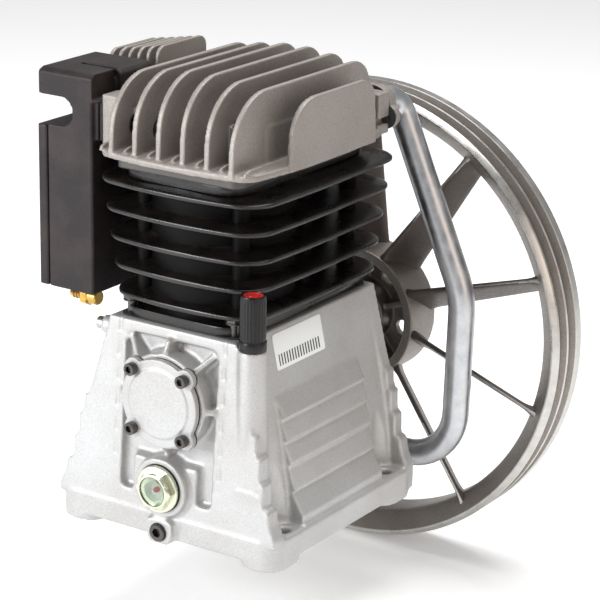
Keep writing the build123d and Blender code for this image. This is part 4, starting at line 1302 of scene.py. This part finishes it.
@dataclass
class FillerCap(Assembly):
    """Ribbed push-in cap with a red vent disc, a plain collar and a plug grooved for its ring; the ring and
    the dipstick are not built.
    """

    ribs: int = 24
    rib_mm: float = 0.45

    def build(self) -> None:
        """Builds the cap and the disc about the cap's own axis."""
        low, high = box("filler_cap")
        x, y = (low.x + high.x) / 2, (low.y + high.y) / 2
        disc_low, disc_high = box("filler_cap_disc")
        r = (high.x - low.x) / 2
        rings = []
        steps = self.ribs * 8
        plug = [(0.2, 0, 0), (7.0, 0, 0), (7.2, 0.4, 0), (7.2, 3.6, 0), (5.7, 3.9, 0), (5.7, 6.9, 0),
                (7.2, 7.2, 0), (7.2, 14.3, 0)]
        collar = [(10.3, 14.3, 0), (10.55, 14.7, 0), (10.55, 21.6, 0), (10.3, 22.0, 0), (9.75, 22.6, 0)]
        grip = [(9.75, 24, 0.3), (9.9, 25, 1), (9.9, 53.0, 1), (9.7, 54.6, 0.5), (9.5, 55.6, 0)]
        brim = [(9.5, 56.6, 0), (9.1, 57.4, 0), (8.3, 57.5, 0), (8.15, 57.2, 0), (8.1, 55.2, 0),
                (0.2, 55.2, 0)]
        for radius, height, rib in plug + collar + grip + brim:
            ring = []
            for k in range(steps):
                a = 2 * math.pi * k / steps
                dip = self.rib_mm * rib * (0.5 + 0.5 * math.cos(self.ribs * a))
                reach = min(radius * MM, r) - dip * MM
                ring.append(Vector((x + reach * math.cos(a), y + reach * math.sin(a), low.z + height * MM)))
            rings.append(ring)
        self.show("filler_cap_ribbed", rings_mesh("cap", rings), CAP_BODY, ["cap_plastic"], "filler_cap")
        top = disc_high.z - disc_low.z
        profile = [(0.1 * MM, 0), (7.9 * MM, 0), (7.9 * MM, top * 0.7),
                   (7.5 * MM, top), (5.4 * MM, top), (5.1 * MM, top * 0.6),
                   (4.3 * MM, top * 0.6), (4.0 * MM, top), (0.1 * MM, top)]
        disc = turned_mesh("disc", profile, 64)
        disc.transform(Matrix.Translation((x, y, disc_low.z)))
        self.show("filler_cap_vent_disc", disc, CAP_BODY, ["red_plastic"], "filler_cap_disc")


@dataclass
class SightGlass(Assembly):
    """Plated hexagon bezel, domed clear lens and a pale cup with the level dot behind it."""

    dot_mm: float = 2.0

    def build(self) -> None:
        """Builds bezel, lens and cup along -Y."""
        low, high = box("sight_glass_body")
        x, z = (low.x + high.x) / 2, (low.z + high.z) / 2
        seat = Vector((x, low.y + 9 * MM, z))
        out = Vector((0, -1, 0))
        bezel = in_mm([(8.1, -14), (10.4, -14), (10.4, 0), (18.3, 0), (18.9, 0.5), (18.9, 2.2), (18.3, 2.9),
                       (17.2, 3.0), (14.0, 3.1, Form.HEX), (14.2, 3.6, Form.HEX), (14.2, 7.6, Form.HEX),
                       (13.6, 8.6), (12.6, 9.0), (11.9, 8.9), (11.6, 8.2), (11.6, 6.0), (8.1, 5.8)])
        mesh = facing(turned_mesh("bezel", bezel, 96, closed=True), out, seat)
        self.show("sight_glass_bezel", mesh, PUMP, ["zinc_steel"], "sight_glass_body")
        lens = in_mm([(0.1, 6.1), (11.5, 6.1), (11.5, 7.4), (9.5, 8.1), (6.5, 8.6), (3.2, 8.8), (0.1, 8.85)])
        mesh = facing(turned_mesh("lens", lens, 72), out, seat)
        self.show("sight_glass_dome", mesh, PUMP, ["clear_glass"], "sight_glass_lens")
        cup = in_mm([(0.1, 3.4), (1.9, 3.4), (self.dot_mm, 3.2), (self.dot_mm, 1.8), (4.6, 1.8), (7.9, 5.4),
                     (8.0, 5.4), (8.0, 0.6), (0.1, 0.6)])
        mesh = turned_mesh("cup", cup, 72)
        for face in mesh.polygons:
            across = math.hypot(face.center.x, face.center.y)
            face.material_index = 0 if across < (self.dot_mm + 0.05) * MM and face.center.z > 1.7 * MM else 1
        self.show("sight_glass_cup", facing(mesh, out, seat), PUMP, ["red_plastic", "pale_plastic"],
                  "sight_glass_plate")


@dataclass
class SmallParts(Assembly):
    """Drain plug and brass nozzle."""

    def drain(self) -> None:
        """Socket plug, its head a low disc."""
        low, high = box("drain_plug")
        x, z, r = (low.x + high.x) / 2, (low.z + high.z) / 2, (high.x - low.x) / 2 / MM
        plug = in_mm([(0.1, -14), (4.9, -14), (4.9, 0), (r, 0), (r, 1.2), (r - 0.7, 2.0), (4.6, 2.0),
                      (3.5, 1.7, Form.HEX), (3.3, -3, Form.HEX), (0.1, -3.6)])
        mesh = facing(turned_mesh("plug", plug, 60), Vector((0, -1, 0)), Vector((x, low.y + 2 * MM, z)))
        self.show("drain_plug_turned", mesh, PUMP, ["black_oxide_steel"], "drain_plug")

    def nozzle(self) -> None:
        """Brass elbow: stem up into the filter, hexagon and barbed nozzle along -X."""
        low, high = box("unloader_fitting")
        y, z = (low.y + high.y) / 2, low.z + 8 * MM
        tip, rise = (high.x - low.x) / MM, (high.z - z) / MM
        barb = in_mm([(0.1, 0), (5.2, 0), (6.0, 1.0), (6.0, 8), (6.4, 8.4, Form.HEX), (6.8, 9.2, Form.HEX),
                      (6.8, 14.2, Form.HEX), (6.2, 15), (3.6, 15.4), (3.4, 17), (4.3, 17.4), (3.5, 20),
                      (4.3, 20.4), (3.4, 23), (4.2, 23.4), (3.0, tip), (2.0, tip), (2.0, tip - 6),
                      (0.1, tip - 6)])
        arm = facing(turned_mesh("barb", barb, 60), Vector((-1, 0, 0)), Vector((high.x, y, z)))
        post = turned_mesh("stem", in_mm([(0.1, 0), (4.9, 0), (4.9, rise), (0.1, rise)]), 40)
        post.transform(Matrix.Translation((high.x - 6 * MM, y, z)))
        self.show("unloader_nozzle", joined("nozzle", [arm, post]), PUMP, ["brass"], "unloader_fitting")

    def build(self) -> None:
        """Builds the small parts."""
        self.drain()
        self.nozzle()


# ---- Camera, light and floor -------------------------------------------------------------------
@dataclass
class Studio:
    """Pale floor, soft light from the front left, and the camera."""

    lens_mm: float = 145.28
    sensor_mm: float = 36.0
    place: tuple[float, float, float] = (1.0318, -1.4815, 0.7628)
    azimuth_deg: float = 33.39
    elevation_deg: float = 18.11
    roll_deg: float = 1.11
    floor_gap: float = 0.0015

    def camera(self) -> None:
        """Makes the scene's camera."""
        data = bpy.data.cameras.new("studio_camera")
        data.lens = self.lens_mm
        data.sensor_width = self.sensor_mm
        data.clip_end = 30
        camera = bpy.data.objects.new("studio_camera", data)
        turn = Matrix.Rotation(math.radians(self.azimuth_deg), 4, "Z")
        tilt = Matrix.Rotation(math.radians(90 - self.elevation_deg), 4, "X")
        roll = Matrix.Rotation(math.radians(self.roll_deg), 4, "Z")
        camera.matrix_world = Matrix.Translation(self.place) @ turn @ tilt @ roll
        bpy.context.scene.collection.objects.link(camera)
        bpy.context.scene.camera = camera

    def lamp(self, name: str, place: tuple, aim: tuple, size: float, watts: float, tint: str) -> None:
        """Adds one square soft box.

        Args:
            name: the lamp's name.
            place: where it hangs.
            aim: what it points at.
            size: its side.
            watts: its power.
            tint: its colour.
        """
        data = bpy.data.lights.new(name, "AREA")
        data.size = size
        data.energy = watts
        data.color = linear(tint)[:3]
        lamp = bpy.data.objects.new(name, data)
        lamp.location = place
        lamp.rotation_euler = (Vector(aim) - Vector(place)).to_track_quat("-Z", "Y").to_euler()
        bpy.context.scene.collection.objects.link(lamp)

    def lights(self) -> None:
        """Key from the front left, a broad box overhead, a weak warm fill from the right, a pale world."""
        middle = (0.0, 0.0, 0.16)
        self.lamp("key_box", (-1.0, -1.9, 0.9), middle, 0.9, 45, "fafdff")
        self.lamp("top_box", (0.1, 0.4, 2.3), middle, 1.8, 52, "ffffff")
        self.lamp("fill_box", (2.2, -0.4, 0.8), middle, 1.2, 7, "ffe9d6")
        world = bpy.data.worlds.new("studio_world")
        world.use_nodes = True
        world.node_tree.nodes["Background"].inputs[0].default_value = linear("f6f6f6")
        world.node_tree.nodes["Background"].inputs[1].default_value = 0.42
        bpy.context.scene.world = world
        bpy.context.scene.view_settings.view_transform = "Standard"

    def floor(self, lowest: float) -> None:
        """Lays the floor just under the lowest point.

        Args:
            lowest: Z of the object's lowest point.
        """
        mesh = bpy.data.meshes.new("studio_floor")
        reach, z = 12.0, lowest - self.floor_gap
        mesh.from_pydata([(-reach, -reach, z), (reach, -reach, z), (reach, reach, z), (-reach, reach, z)], [],
                         [(0, 1, 2, 3)])
        floor = bpy.data.objects.new("studio_floor", mesh)
        bpy.context.scene.collection.objects.link(floor)
        material = bpy.data.materials.new("studio_paper")
        material.use_nodes = True
        shader = material.node_tree.nodes["Principled BSDF"]
        shader.inputs["Base Color"].default_value = linear("fbfbfb")
        shader.inputs["Roughness"].default_value = 0.9
        shader.inputs["Emission Color"].default_value = linear("ffffff")
        shader.inputs["Emission Strength"].default_value = 0.2
        mesh.materials.append(material)
        floor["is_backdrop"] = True


# ---- The whole object --------------------------------------------------------------------------
def dress_nodes(frame: dict, materials: dict[str, bpy.types.Material]) -> None:
    """Gives every CAD node the finish of its slot in the record.

    Args:
        materials: built materials by slot.
    """
    for part in frame["record"]["subparts"]:
        mesh = frame["nodes"][part["node"]].data
        mesh.materials.clear()
        mesh.materials.append(materials[part["material_slot"]])


ASSEMBLIES = (Castings, CylinderBlock, Flywheel, Fasteners, IntercoolerTube, FillerCap, SightGlass, SmallParts)


def main() -> None:
    """Builds the looks in order and reports each piece."""
    logging.basicConfig(level=logging.INFO, format="%(name)s: %(message)s")
    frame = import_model()
    low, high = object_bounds()
    materials = {slot: finish.build() for slot, finish in FINISHES.items()}
    dress_nodes(frame, materials)
    for assembly in ASSEMBLIES:
        assembly(frame, materials).build()
    studio = Studio()
    studio.floor(low[2])
    studio.lights()
    studio.camera()
    low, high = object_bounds()


if __name__ == "__main__":
    main()
